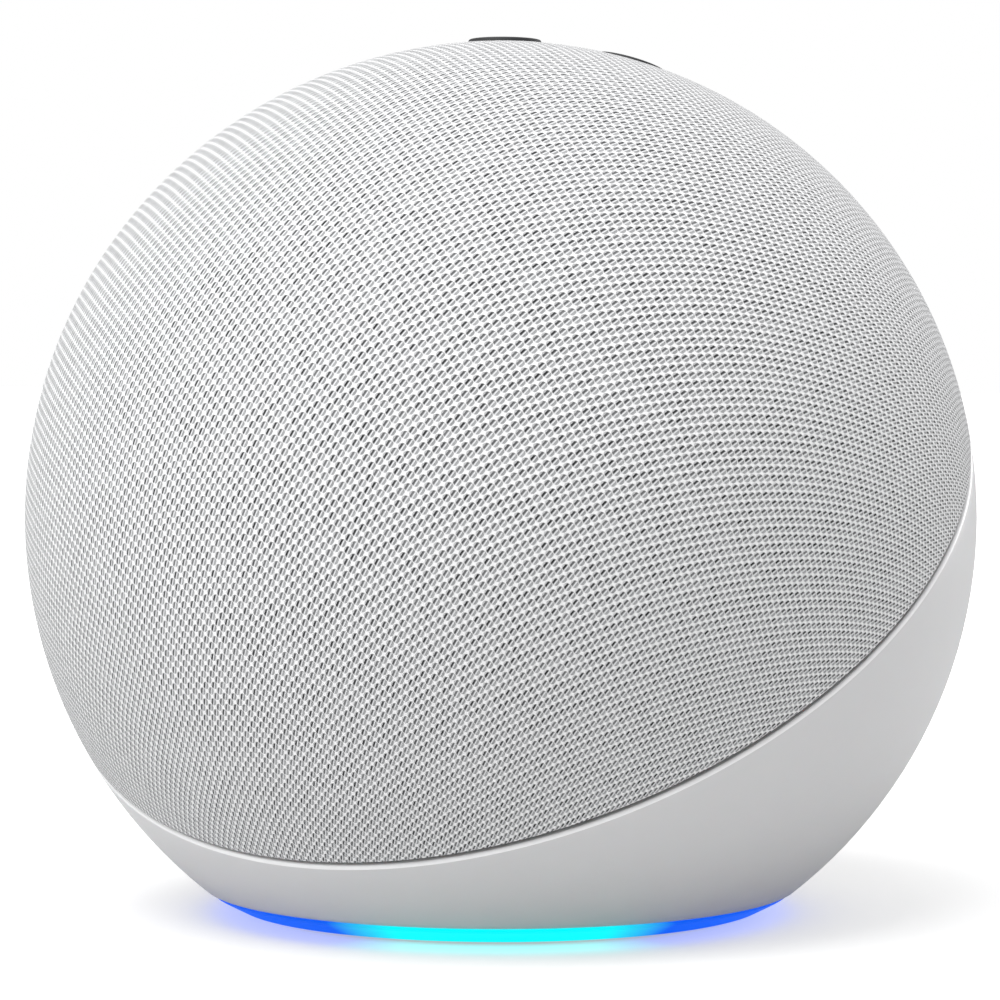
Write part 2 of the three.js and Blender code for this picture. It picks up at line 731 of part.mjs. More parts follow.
// ---- Connectors --------------------------------------------------------------------------

function portPanel() {
  const front = portFloor + FIT_GAP;
  const slab = pill(PORT_WIDTH - 2 * FIT_GAP, PORT_TALL - 2 * FIT_GAP, front, panelFront);
  return shaped(slab, { cut: noseHoles(front - SINK, panelFront + SINK) });
}

/** A jack: a body on the board and a round nose through the housing, with its bore. */
function jack(x, width, rise, nose, bore, pins) {
  const noseFront = panelFront - FIT_GAP;
  const body = block(
    [x - width / 2, jackBack, IO_BOARD_TOP + FIT_GAP],
    [x + width / 2, jackRear, PORT_HEIGHT + rise],
  );
  const drilled = shaped(body, {
    add: [alongJack(x, nose, jackRear - SINK, noseFront)],
    cut: [alongJack(x, bore, jackBack + JACK_BACK_WALL, noseFront + SINK)],
  });
  return shaped(drilled, { add: pins });
}

function dcJack() {
  const pin = alongJack(jackX.dc, DC_PIN, jackBack + SINK, panelFront - PIN_RECESS, 8);
  return jack(jackX.dc, DC_BODY_WIDTH, DC_BODY_RISE, DC_NOSE, DC_BORE, [pin]);
}

function auxJack() {
  return jack(jackX.aux, AUX_BODY_WIDTH, AUX_BODY_RISE, AUX_NOSE, AUX_BORE, []);
}

/** The connector board, level in the bowl, with a header for the main board's lead. */
function ioBoard() {
  const half = IO_BOARD_WIDTH / 2;
  const board = block(
    [-half, ioBoardFront, ioBoardBottom],
    [half, ioBoardRear, IO_BOARD_TOP],
  );
  const [width, length, height] = HEADER_SIZE;
  const header = block(
    [-width / 2, ioBoardFront + SINK, IO_BOARD_TOP - BOARD_THICKNESS / 4],
    [width / 2, ioBoardFront + SINK + length, IO_BOARD_TOP + height],
  );
  const holes = [-ioPostX, ioPostX].map((x) =>
    rod(screwHole, ioBoardBottom - SINK, IO_BOARD_TOP + SINK).translate(x, ioPostY, 0));
  return shaped(board, { add: [header], cut: holes });
}

// ---- Speaker frame and bass chamber ------------------------------------------------------

const wooferScrewAngles = spread(4, Math.PI / 4);
const cableY = chord(FRAME_SCREW_CIRCLE - 3, CABLE_OFFSET);

/** The flange that stiffens the bowl, with the bass chamber's barrel standing on it. */
function speakerFrame() {
  const lip = wooferOpening + SLIDE_GAP;
  const body = ring([
    [barrelInner, flangeBottom],
    [flangeRadius, flangeBottom],
    [flangeRadius, FLANGE_TOP],
    [barrelRadius, FLANGE_TOP],
    [barrelRadius, BARREL_TOP],
    [lip, BARREL_TOP],
    [lip, BARREL_TOP - BARREL_LIP],
    [barrelInner, BARREL_TOP - BARREL_LIP],
  ]);
  const bossBottom = BARREL_TOP - WOOFER_BOSS_HEIGHT;
  const boss = rod(screwHole + WOOFER_BOSS_WALL, bossBottom, BARREL_TOP)
    .translate(wooferScrewCircle, 0, 0);
  const bossHole = rod(screwHole, bossBottom + WOOFER_BOSS_WALL, BARREL_TOP + SINK)
    .translate(wooferScrewCircle, 0, 0);
  const slotHalf = [CABLE_WIDTH / 2 + 1, CABLE_THICKNESS / 2 + 1.7];
  const cableSlot = block(
    [CABLE_OFFSET - slotHalf[0], cableY - slotHalf[1], flangeBottom - SINK],
    [CABLE_OFFSET + slotHalf[0], cableY + slotHalf[1], FLANGE_TOP + SINK],
  );
  return shaped(body, {
    add: turnedTo(wooferScrewAngles, boss),
    cut: [
      ...turnedTo(wooferScrewAngles, bossHole),
      ...frameScrewHoles(flangeBottom - SINK, FLANGE_TOP + SINK),
      cableSlot,
    ],
  });
}

/** The lower half of the bass chamber, with pegs that hold the main board. */
function chamberCup() {
  const floor = CHAMBER_FLOOR + BARREL_WALL;
  const rim = flangeBottom - FIT_GAP;
  const cup = lathe([
    [0, CHAMBER_FLOOR],
    [barrelRadius, CHAMBER_FLOOR],
    [barrelRadius, rim - CUP_RIM_THICKNESS],
    [barrelRadius + CUP_RIM_WIDTH, rim - CUP_RIM_THICKNESS],
    [barrelRadius + CUP_RIM_WIDTH, rim],
    [barrelInner, rim],
    [barrelInner, floor],
    [0, floor],
  ]);
  const corner = POST_SQUARE * Math.SQRT2;
  const post = rod(BOARD_POST_RADIUS, MAIN_BOARD_TOP + FIT_GAP, CHAMBER_FLOOR + SINK, 10);
  const peg = rod(PEG_RADIUS, mainBoardBottom - SINK, CHAMBER_FLOOR, 8);
  const angles = spread(4, Math.PI / 4);
  return shaped(cup, {
    add: [post, peg].flatMap((piece) => turnedTo(angles, piece.translate(corner, 0, 0))),
  });
}

/** A frame screw, standing on the flange. */
function frameScrew() {
  return screw(FLANGE_TOP + FIT_GAP, FRAME_SCREW_LENGTH);
}

// ---- Woofer ------------------------------------------------------------------------------

function wooferGasket() {
  const low = BARREL_TOP + FIT_GAP;
  const outline = [
    [wooferOpening + SLIDE_GAP, low],
    [WOOFER_RIM, low],
    [WOOFER_RIM, low + GASKET_THICKNESS],
    [wooferOpening + SLIDE_GAP, low + GASKET_THICKNESS],
  ];
  return shaped(ring(outline, PART_SEGMENTS), { cut: wooferScrewHoles() });
}

function wooferScrewHoles() {
  const hole = rod(screwHole, BARREL_TOP - SINK, rimTop + SINK).translate(wooferScrewCircle, 0, 0);
  return turnedTo(wooferScrewAngles, hole);
}

/** The basket: a screwed rim, an open cone of spokes, and a seat on the magnet's yoke. */
function wooferBasket() {
  const bore = yokeInner + WOOFER_WALL;
  const neck = YOKE_RADIUS + BASKET_NECK;
  const waist = rimBottom - BASKET_SHOULDER;
  const seatTop = basketBottom + WOOFER_WALL;
  const body = ring([
    [bore, basketBottom],
    [neck, basketBottom],
    [neck, seatTop],
    [wooferOpening, waist],
    [wooferOpening, rimBottom],
    [WOOFER_RIM, rimBottom],
    [WOOFER_RIM, rimTop],
    [wooferOpening - WOOFER_WALL, rimTop],
    [wooferOpening - WOOFER_WALL, waist],
    [neck - WOOFER_WALL, seatTop],
    [bore, seatTop],
  ], PART_SEGMENTS);
  const window = block(
    [YOKE_RADIUS, -BASKET_WINDOW / 2, seatTop + SCREW_HEAD],
    [WOOFER_RIM, BASKET_WINDOW / 2, waist - SINK],
  );
  return shaped(body, { cut: [...turnedTo(spread(6), window), ...wooferScrewHoles()] });
}

/** The rubber half-roll between the basket's rim and the cone. */
function wooferSurround() {
  const outer = wooferOpening + SURROUND_LAND;
  const inner = coneRim - CONE_LAND;
  const middle = (coneRim + wooferOpening) / 2;
  const foot = rimTop + FIT_GAP;
  const radius = SURROUND_WIDTH / 2 + 0.1;
  const root = Math.asin(SURROUND_THICKNESS / radius);
  const roll = (size, from, to) => arc(size, from, to, 3).map(([r, z]) => [middle + r, foot + z]);
  return ring([
    [inner, foot],
    ...roll(radius - SURROUND_THICKNESS, Math.PI, 0),
    [outer, foot],
    [outer, foot + SURROUND_THICKNESS],
    ...roll(radius, root, Math.PI - root),
    [inner, foot + SURROUND_THICKNESS],
  ], PART_SEGMENTS);
}

function wooferCone() {
  return ring([
    [coneNeck, coneNeckBottom],
    [coneRim - CONE_LAND + CONE_THICKNESS / 2, coneRimBottom],
    [coneRim, coneRimBottom],
    [coneRim, rimTop],
    [coneRim - CONE_LAND, rimTop],
    [coneNeck, coneNeckTop],
  ], PART_SEGMENTS);
}

/** Height of the cone's upper face at a radius. */
function coneHeight(radius) {
  const share = (radius - coneNeck) / (coneRim - CONE_LAND - coneNeck);
  return coneNeckTop + (rimTop - coneNeckTop) * share;
}

function dustCap() {
  const base = coneHeight(capRadius) + FIT_GAP;
  const bulge = (inset, from, to) => arc(1, from, to, 3)
    .map(([r, z]) => [(capRadius - inset) * r, base + (CAP_RISE - inset) * z]);
  return lathe([
    ...bulge(CAP_WALL, Math.PI / 2, 0),
    ...bulge(0, 0, Math.PI / 2),
  ], PART_SEGMENTS);
}

/** The coil former, with the winding round its lower end. */
function voiceCoil() {
  const low = yokeFloor + WOOFER_TRAVEL + 3 * COIL_CLEARANCE;
  const high = coneNeckBottom + COIL_JOINT;
  return ring([
    [formerInner, low],
    [coilOuter, low],
    [coilOuter, low + WINDING_HEIGHT],
    [COIL_FORMER, low + WINDING_HEIGHT],
    [COIL_FORMER, high],
    [formerInner, high],
  ], PART_SEGMENTS);
}

/** The corrugated spider that centres the coil. */
function spider() {
  const inner = COIL_FORMER + FIT_GAP;
  const steps = 2 * SPIDER_WAVES;
  const wave = Array.from({ length: steps + 1 }, (_, i) => {
    const height = i % 2 ? SPIDER_RISE : 0;
    return [inner + (SPIDER_WIDTH * i) / steps, spiderBottom + height];
  });
  const upper = wave.map(([r, z]) => [r, z + SPIDER_THICKNESS]).reverse();
  return ring([...wave, ...upper], PART_SEGMENTS);
}

function polePiece() {
  const low = yokeFloor + 2 * FIT_GAP + MAGNET_HEIGHT;
  return rod(formerInner - SLIDE_GAP, low, low + POLE_THICKNESS, PART_SEGMENTS);
}

function magnet() {
  const low = yokeFloor + FIT_GAP;
  return rod(MAGNET_RADIUS, low, low + MAGNET_HEIGHT, PART_SEGMENTS);
}

/** The steel cup that closes the magnet's circuit. */
function yoke() {
  return lathe([
    [0, YOKE_BOTTOM],
    [YOKE_RADIUS, YOKE_BOTTOM],
    [YOKE_RADIUS, YOKE_TOP],
    [yokeInner, YOKE_TOP],
    [yokeInner, yokeFloor],
    [0, yokeFloor],
  ], PART_SEGMENTS);
}

function wooferScrew() {
  return screw(rimTop + FIT_GAP, WOOFER_SCREW_LENGTH);
}

// ---- Tweeters ----------------------------------------------------------------------------

/** The tweeter's cup, with a ring-shaped slot for the coil. */
function tweeterHousing() {
  const mouth = domeRim + 0.4;
  const slot = { outer: TWEETER_DOME + 0.7, inner: TWEETER_DOME - 1 };
  return lathe([
    [0, -TWEETER_DEPTH],
    [TWEETER_RADIUS, -TWEETER_DEPTH],
    [TWEETER_RADIUS, 0],
    [mouth, 0],
    [mouth, -TWEETER_FACE],
    [slot.outer, -TWEETER_FACE],
    [slot.outer, -TWEETER_SLOT],
    [slot.inner, -TWEETER_SLOT],
    [slot.inner, -TWEETER_FACE],
    [0, -TWEETER_FACE],
  ], PART_SEGMENTS);
}

/** The soft dome with its rim and coil. */
function tweeterDome() {
  const wall = 0.4;
  const rim = 0.7 - TWEETER_FACE;
  const coilEnd = 1.5 - TWEETER_SLOT;
  const bulge = (radius, height, from, to) => arc(1, from, to, 3)
    .map(([r, z]) => [radius * r, rim + height * z]);
  return lathe([
    ...bulge(TWEETER_DOME - wall, TWEETER_RISE - wall, Math.PI / 2, 0),
    [TWEETER_DOME - wall, coilEnd],
    [TWEETER_DOME, coilEnd],
    [TWEETER_DOME, rim],
    [domeRim, rim],
    [domeRim, rim + wall],
    ...bulge(TWEETER_DOME, TWEETER_RISE, wall / TWEETER_RISE, Math.PI / 2),
  ], PART_SEGMENTS);
}

/** The clamp round a tweeter and its leg to the flange, in the seam's frame. */
function tweeterBracket(frame) {
  const toSeam = between(frame, seamFrame);
  const bore = TWEETER_RADIUS + FIT_GAP;
  const outer = bore + CLAMP_WALL;
  const front = -CLAMP_SETBACK;
  const rear = front - CLAMP_WIDTH;
  const clamp = ring([[bore, rear], [outer, rear], [outer, front], [bore, front]], PART_SEGMENTS)
    .applyMatrix4(toSeam);
  const under = new THREE.Vector3(0, -outer, (front + rear) / 2).applyMatrix4(toSeam);
  const reach = Math.hypot(under.x, under.y);
  const azimuth = Math.atan2(under.y, under.x);
  const foot = FLANGE_TOP + FIT_GAP;
  const [depth, width] = LEG_SIZE;
  const [padDepth, padWidth, padHeight] = LEG_PAD;
  const leg = block(
    [reach - depth / 2, -width / 2, foot],
    [reach + depth / 2, width / 2, under.z + CLAMP_WALL + SINK],
  ).rotateZ(azimuth);
  const pad = block(
    [reach - padDepth + 4, -padWidth / 2, foot],
    [reach + 4, padWidth / 2, foot + padHeight],
  ).rotateZ(azimuth);
  const bodySpace = rod(bore, rear - TWEETER_RADIUS, front + TWEETER_RADIUS, PART_SEGMENTS)
    .applyMatrix4(toSeam);
  return shaped(clamp, { add: [leg, pad], cut: [bodySpace] });
}

// ---- Main board --------------------------------------------------------------------------

/** The main board: a disc with a flat front, its peg holes and its connectors. */
function mainBoard() {
  const disc = rod(MAIN_BOARD_RADIUS, mainBoardBottom, MAIN_BOARD_TOP, SHELL_SEGMENTS);
  const under = mainBoardBottom - SINK;
  const over = MAIN_BOARD_TOP + SINK;
  const front = block([-outside, -outside, under], [outside, -MAIN_BOARD_FLAT, over]);
  const hole = rod(PEG_RADIUS + FIT_GAP, under, over, 10)
    .translate(POST_SQUARE * Math.SQRT2, 0, 0);
  const connectors = CONNECTORS.map(([x0, y0, x1, y1]) => block(
    [x0, y0, mainBoardBottom - CONNECTOR_HEIGHT],
    [x1, y1, mainBoardBottom + BOARD_THICKNESS / 4],
  ));
  return shaped(disc, {
    add: connectors,
    cut: [front, ...turnedTo(spread(4, Math.PI / 4), hole)],
  });
}

/** The pressed can over the processor, open towards the board. */
function processorShield() {
  const half = SHIELD_SIZE / 2;
  const hollow = half - SHIELD_WALL;
  const top = shieldBottom + SHIELD_HEIGHT;
  return shaped(block([-half, -half, shieldBottom], [half, half, top]), {
    cut: [block([-hollow, -hollow, shieldBottom + SHIELD_WALL], [hollow, hollow, top + SINK])],
  });
}

/** The aluminium heat spreader, with fins. */
function heatSpreader() {
  const half = SPREADER_WIDTH / 2;
  const bottom = spreaderTop - SPREADER_THICKNESS;
  const pitch = (SPREADER_WIDTH - FIN_WIDTH) / (FIN_COUNT - 1);
  const fins = Array.from({ length: FIN_COUNT }, (_, i) => {
    const x = -half + i * pitch;
    return block([x, -half, bottom - FIN_HEIGHT], [x + FIN_WIDTH, half, bottom + FIN_WIDTH / 4]);
  });
  return shaped(block([-half, -half, bottom], [half, half, spreaderTop]), { add: fins });
}

/** A flat aerial strip that stands beside the barrel. */
function aerial() {
  const face = barrelRadius + SLIDE_GAP;
  const [thickness, width, height] = AERIAL_SIZE;
  return block(
    [face, -width / 2, AERIAL_BOTTOM],
    [face + thickness, width / 2, AERIAL_BOTTOM + height],
  );
}

// ---- Button pad --------------------------------------------------------------------------

/** A button at its place: a round cap with a domed top, a retaining lip and a stem. */
function button(angle) {
  const blank = shaped(rod(BUTTON_RADIUS, lipBottom, outside, 16), {
    add: [
      rod(lipOuter, lipBottom, lipTop, 16),
      rod(STEM_RADIUS, switchTop + BUTTON_TRAVEL + FIT_GAP, lipBottom + BUTTON_LIP_HEIGHT / 2, 8),
    ],
  }).translate(BUTTON_CIRCLE, 0, 0).rotateZ(angle);
  const ball = new THREE.SphereGeometry(BALL_RADIUS + BUTTON_PROUD, 96, 48)
    .rotateX(Math.PI / 2);
  return common(blank, ball);
}

/** A tactile switch: a square body with a round plunger. */
function tactSwitch() {
  const half = SWITCH_SIZE / 2;
  const low = padBoardTop + FIT_GAP;
  return shaped(block([-half, -half, low], [half, half, switchTop - PLUNGER_RISE]), {
    add: [rod(PLUNGER_RADIUS, low + PLUNGER_RISE, switchTop, 10)],
  });
}

function padBoard() {
  return rod(PAD_BOARD_RADIUS, padBoardBottom, padBoardTop, PART_SEGMENTS);
}

/** The carrier that keeps the buttons in and hangs on the grille's posts. */
function buttonCarrier() {
  const skirt = padBoardBottom - CARRIER_SKIRT;
  const plateBottom = carrierPlateTop - CARRIER_PLATE;
  const cup = lathe([
    [0, plateBottom],
    [carrierInner, plateBottom],
    [carrierInner, skirt],
    [carrierOuter, skirt],
    [carrierOuter, carrierPlateTop],
    [0, carrierPlateTop],
  ], PART_SEGMENTS);
  const reach = PAD_POST_CIRCLE - carrierInner - CARRIER_WALL / 3;
  const ear = shaped(rod(PAD_POST_RADIUS + EAR_WALL, skirt, padBoardTop, 12), {
    add: [block([-reach, -EAR_WALL, skirt], [0, EAR_WALL, padBoardTop])],
  }).translate(PAD_POST_CIRCLE, 0, 0);
  const earHole = rod(PAD_POST_RADIUS + FIT_GAP, skirt - SINK, padBoardTop + SINK, 10)
    .translate(PAD_POST_CIRCLE, 0, 0);
  const stemHole = rod(STEM_RADIUS + SLIDE_GAP, plateBottom - SINK, carrierPlateTop + SINK, 12)
    .translate(BUTTON_CIRCLE, 0, 0);
    return shaped(cup, {
    add: turnedTo(padPostAngles, ear),
    cut: [...turnedTo(padPostAngles, earHole), ...turnedTo(spread(4), stemHole)],
  });
}

/** The flat cable from the button pad to the main board, in the seam's frame. */
function padCable() {
  const toSeam = between(padFrame, seamFrame);
  const fromPad = (y, z) => new THREE.Vector3(CABLE_OFFSET, y, z).applyMatrix4(toSeam);
  const inSeam = (y, z) => new THREE.Vector3(CABLE_OFFSET, y, z);
  const path = new THREE.CatmullRomCurve3([
    fromPad(12, padBoardBottom - 0.7),
    fromPad(14, padBoardBottom - 7),
    inSeam(cableY - 1.5, 15),
    inSeam(cableY, 0),
    inSeam(cableY, flangeBottom),
    inSeam(cableY - 4, -20),
    inSeam(cableY - 8.5, CHAMBER_FLOOR),
    inSeam(38, MAIN_BOARD_TOP + 1.2),
    inSeam(31, MAIN_BOARD_TOP + 0.75),
  ]);
  const half = CABLE_WIDTH / 2;
  const thin = CABLE_THICKNESS / 2;
  const section = new THREE.Shape([
    new THREE.Vector2(-half, -thin),
    new THREE.Vector2(half, -thin),
    new THREE.Vector2(half, thin),
    new THREE.Vector2(-half, thin),
  ]);
  return new THREE.ExtrudeGeometry(section, { steps: 24, extrudePath: path });
}

// ---- Finishes ----------------------------------------------------------------------------

/** A material: colour, roughness and metalness. */
function finish(color, roughness, metalness = 0) {
  return () => new THREE.MeshStandardMaterial({ color, roughness, metalness });
}

const knitFabric = finish(0xd9d9da, 0.95);
const whitePlastic = finish(0xe6e6e8, 0.45);
const innerPlastic = finish(0x2b2c2e, 0.6);
const buttonPlastic = finish(0x3a3b3d, 0.5);
const lightPlastic = finish(0x29a2f5, 0.3);
const rubber = finish(0x4a4b4d, 0.85);
const brass = finish(0xc9a24d, 0.35, 1);
const steel = finish(0xb8b8bb, 0.35, 1);
const aluminium = finish(0xd0d1d3, 0.4, 1);
const circuitBoard = finish(0x1f5a3c, 0.55);
const paperCone = finish(0x26272a, 0.8);
const copper = finish(0xb87347, 0.35, 1);
const foam = finish(0x303134, 0.95);
const silk = finish(0x55565a, 0.8);
const film = finish(0xc98b3a, 0.5);

// ---- Assembly ----------------------------------------------------------------------------

/** Adds one named sub-part to a frame. */
function fit(frame, name, geometry, material) {
  const mesh = new THREE.Mesh(geometry, material());
  mesh.name = name;
  frame.add(mesh);
  return mesh;
}

/** Adds numbered copies of a screw on a circle. */
function fitScrews(frame, name, geometry, circle, angles) {
  angles.forEach((angle, i) => {
    const mesh = fit(frame, `${name}_${i + 1}`, geometry, steel);
    mesh.position.set(circle * Math.cos(angle), circle * Math.sin(angle), 0);
  });
}

function fitShells() {
  fit(seamFrame, 'fabric_skin', fabricSkin(), knitFabric);
  fit(seamFrame, 'grille_shell', grilleShell(), innerPlastic);
  fit(world, 'rear_housing', rearHousing(), whitePlastic);
}

function fitBase() {
  fit(world, 'light_ring', lightRing(), lightPlastic);
  fit(world, 'light_board', lightBoard(), circuitBoard);
  fit(world, 'base_plate', basePlate(), whitePlastic);
  fit(world, 'rubber_foot', rubberFoot(), rubber);
  fit(world, 'stand_insert', standInsert(), brass);
  fitScrews(world, 'base_screw', baseScrew(), footMiddle, baseScrewAngles);
}

function fitConnectors() {
  fit(world, 'port_panel', portPanel(), innerPlastic);
  fit(world, 'dc_jack', dcJack(), innerPlastic);
  fit(world, 'aux_jack', auxJack(), innerPlastic);
  fit(world, 'io_board', ioBoard(), circuitBoard);
  [ioPostX, -ioPostX].forEach((x, i) => {
    const mesh = fit(world, `io_screw_${i + 1}`, screw(IO_BOARD_TOP + FIT_GAP, IO_SCREW_LENGTH), steel);
    mesh.position.set(x, ioPostY, 0);
  });
}

function fitSpeakerFrame() {
  fit(seamFrame, 'speaker_frame', speakerFrame(), innerPlastic);
  fit(seamFrame, 'chamber_cup', chamberCup(), innerPlastic);
  fitScrews(seamFrame, 'frame_screw', frameScrew(), FRAME_SCREW_CIRCLE, frameScrewAngles);
}

function fitWoofer() {
  fit(seamFrame, 'woofer_gasket', wooferGasket(), foam);
  fit(seamFrame, 'woofer_basket', wooferBasket(), steel);
  fit(seamFrame, 'woofer_surround', wooferSurround(), rubber);
  fit(seamFrame, 'woofer_cone', wooferCone(), paperCone);
  fit(seamFrame, 'dust_cap', dustCap(), paperCone);
  fit(seamFrame, 'voice_coil', voiceCoil(), copper);
  fit(seamFrame, 'spider', spider(), film);
  fit(seamFrame, 'pole_piece', polePiece(), steel);
  fit(seamFrame, 'magnet', magnet(), steel);
  fit(seamFrame, 'yoke', yoke(), steel);
  fitScrews(seamFrame, 'woofer_screw', wooferScrew(), wooferScrewCircle, wooferScrewAngles);
}

function fitTweeters() {
  for (const [side, frame] of Object.entries(tweeterFrames)) {
    fit(frame, `tweeter_${side}_housing`, tweeterHousing(), innerPlastic);
    fit(frame, `tweeter_${side}_dome`, tweeterDome(), silk);
    fit(seamFrame, `tweeter_${side}_bracket`, tweeterBracket(frame), innerPlastic);
  }
}

function fitElectronics() {
  fit(seamFrame, 'main_board', mainBoard(), circuitBoard);
  fit(seamFrame, 'processor_shield', processorShield(), steel);
  fit(seamFrame, 'heat_spreader', heatSpreader(), aluminium);
  fit(seamFrame, 'aerial_left', aerial().rotateZ(Math.PI), film);
  fit(seamFrame, 'aerial_right', aerial(), film);
}

function fitButtonPad() {
  const places = { mic_mute: Math.PI / 2, volume_up: 0, action: -Math.PI / 2, volume_down: Math.PI };
  for (const [name, angle] of Object.entries(places)) {
    fit(padFrame, `button_${name}`, button(angle), buttonPlastic);
    const key = fit(padFrame, `switch_${name}`, tactSwitch(), steel);
    key.position.set(BUTTON_CIRCLE * Math.cos(angle), BUTTON_CIRCLE * Math.sin(angle), 0);
  }
  fit(padFrame, 'button_board', padBoard(), circuitBoard);
  fit(padFrame, 'button_carrier', buttonCarrier(), innerPlastic);
  fit(seamFrame, 'button_cable', padCable(), film);
}

fitShells();
fitBase();
fitConnectors();
fitSpeakerFrame();
fitWoofer();
fitTweeters();
fitElectronics();
fitButtonPad();

const speaker = new THREE.Group();
speaker.add(world, seamFrame, padFrame, tweeterFrames.left, tweeterFrames.right);

export default speaker;
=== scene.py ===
"""A table-top smart speaker: a knitted cover on a ball that sits in a tilted white bowl.

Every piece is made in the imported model's own frame, in metres, +Z up and front towards -Y.
"""

import json
import logging
import math
from dataclasses import dataclass
from enum import Enum
from typing import Callable, ClassVar, Iterable, Sequence

import bmesh
import bpy
import numpy as np
from mathutils import Matrix, Vector


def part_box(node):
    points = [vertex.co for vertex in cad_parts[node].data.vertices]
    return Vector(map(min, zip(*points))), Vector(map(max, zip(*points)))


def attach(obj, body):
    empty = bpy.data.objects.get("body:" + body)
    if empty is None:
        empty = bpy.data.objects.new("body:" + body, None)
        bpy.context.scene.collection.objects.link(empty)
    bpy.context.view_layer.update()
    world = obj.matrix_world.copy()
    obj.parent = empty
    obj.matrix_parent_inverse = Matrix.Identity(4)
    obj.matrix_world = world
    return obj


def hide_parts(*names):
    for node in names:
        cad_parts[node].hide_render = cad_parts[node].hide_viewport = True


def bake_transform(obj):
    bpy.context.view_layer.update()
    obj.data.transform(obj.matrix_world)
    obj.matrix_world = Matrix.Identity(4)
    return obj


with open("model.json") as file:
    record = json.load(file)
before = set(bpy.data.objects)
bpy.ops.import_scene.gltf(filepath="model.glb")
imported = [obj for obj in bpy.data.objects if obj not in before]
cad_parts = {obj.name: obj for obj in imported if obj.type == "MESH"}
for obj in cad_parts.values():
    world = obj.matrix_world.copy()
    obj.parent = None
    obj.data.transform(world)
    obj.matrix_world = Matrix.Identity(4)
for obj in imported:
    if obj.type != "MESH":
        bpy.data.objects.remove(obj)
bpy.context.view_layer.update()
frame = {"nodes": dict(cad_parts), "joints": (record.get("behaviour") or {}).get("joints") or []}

log = logging.getLogger("speaker")

MM = 0.001
# Clearance between parts that meet
FIT = 0.3 * MM
# Degrees from which a fold is a crisp edge
SHARP = 35.0
Point = tuple[float, float]
Ring = np.ndarray


class Body(str, Enum):
    """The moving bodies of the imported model."""

    CABINET = "cabinet"
    CONE = "woofer_cone"


class Key(Enum):
    """The four buttons, with their places round the pad in degrees."""

    MIC_MUTE = ("button_mic_mute", 90.0)
    VOLUME_UP = ("button_volume_up", 0.0)
    ACTION = ("button_action", -90.0)
    VOLUME_DOWN = ("button_volume_down", 180.0)

    @property
    def node(self) -> str:
        """The button's CAD node, which is also its body's name."""
        return self.value[0]

    @property
    def angle(self) -> float:
        """The button's place round the pad, in radians."""
        return math.radians(self.value[1])


# ---- Places ------------------------------------------------------------------------------


@dataclass(frozen=True)
class Ball:
    """The ball that every outer piece is cut from.

    Attributes:
        radius: Outer radius of the ball.
        centre: Height of its centre above the table.
        seam: Height of the seam's middle along the seam's axis, from the centre.
        seam_gap: Width of the gap between the cover and the bowl.
    """

    radius: float = 72 * MM
    centre: float = 60 * MM
    seam: float = -6.22 * MM
    seam_gap: float = 0.58 * MM

    def frame_of(self, joint: str) -> Matrix:
        """A frame at the ball's centre whose Z is a joint's axis and whose X is level.

        Args:
            joint: The joint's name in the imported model.

        Returns:
            The frame's matrix.
        """
        axis = Vector(next(j["axis"] for j in frame["joints"] if j["name"] == joint)).normalized()
        side = Vector((1, 0, 0))
        turn = Matrix((side, axis.cross(side), axis)).transposed().to_4x4()
        return Matrix.Translation((0, 0, self.centre)) @ turn


BALL = Ball()
SEAM_FRAME = BALL.frame_of("woofer_travel")
PAD_FRAME = BALL.frame_of("press_action")
WORLD_FRAME = Matrix.Identity(4)


# ---- Nodes and colours -------------------------------------------------------------------


def linear(colour: str) -> tuple[float, float, float, float]:
    """Turns an sRGB hex colour to linear light.

    Args:
        colour: Six hex digits after a hash sign.

    Returns:
        Red, green, blue and an alpha of 1.
    """
    parts = [int(colour[i:i + 2], 16) / 255 for i in (1, 3, 5)]
    light = [c / 12.92 if c <= 0.04045 else ((c + 0.055) / 1.055) ** 2.4 for c in parts]
    return (*light, 1.0)


def add_node(tree: bpy.types.NodeTree, kind: str, inputs: dict | None = None,
             **settings: object) -> bpy.types.Node:
    """Adds a node, sets it and links it.

    Args:
        tree: The tree that the node is added to.
        kind: The node's type name.
        inputs: A value or an output socket for each named or numbered input.
        **settings: The node's own properties.

    Returns:
        The new node.
    """
    node = tree.nodes.new(kind)
    for name, value in settings.items():
        setattr(node, name, value)
    for name, value in (inputs or {}).items():
        socket = node.inputs[name]
        if isinstance(value, bpy.types.NodeSocket):
            tree.links.new(value, socket)
        else:
            socket.default_value = value
    return node


# ---- Finishes ----------------------------------------------------------------------------


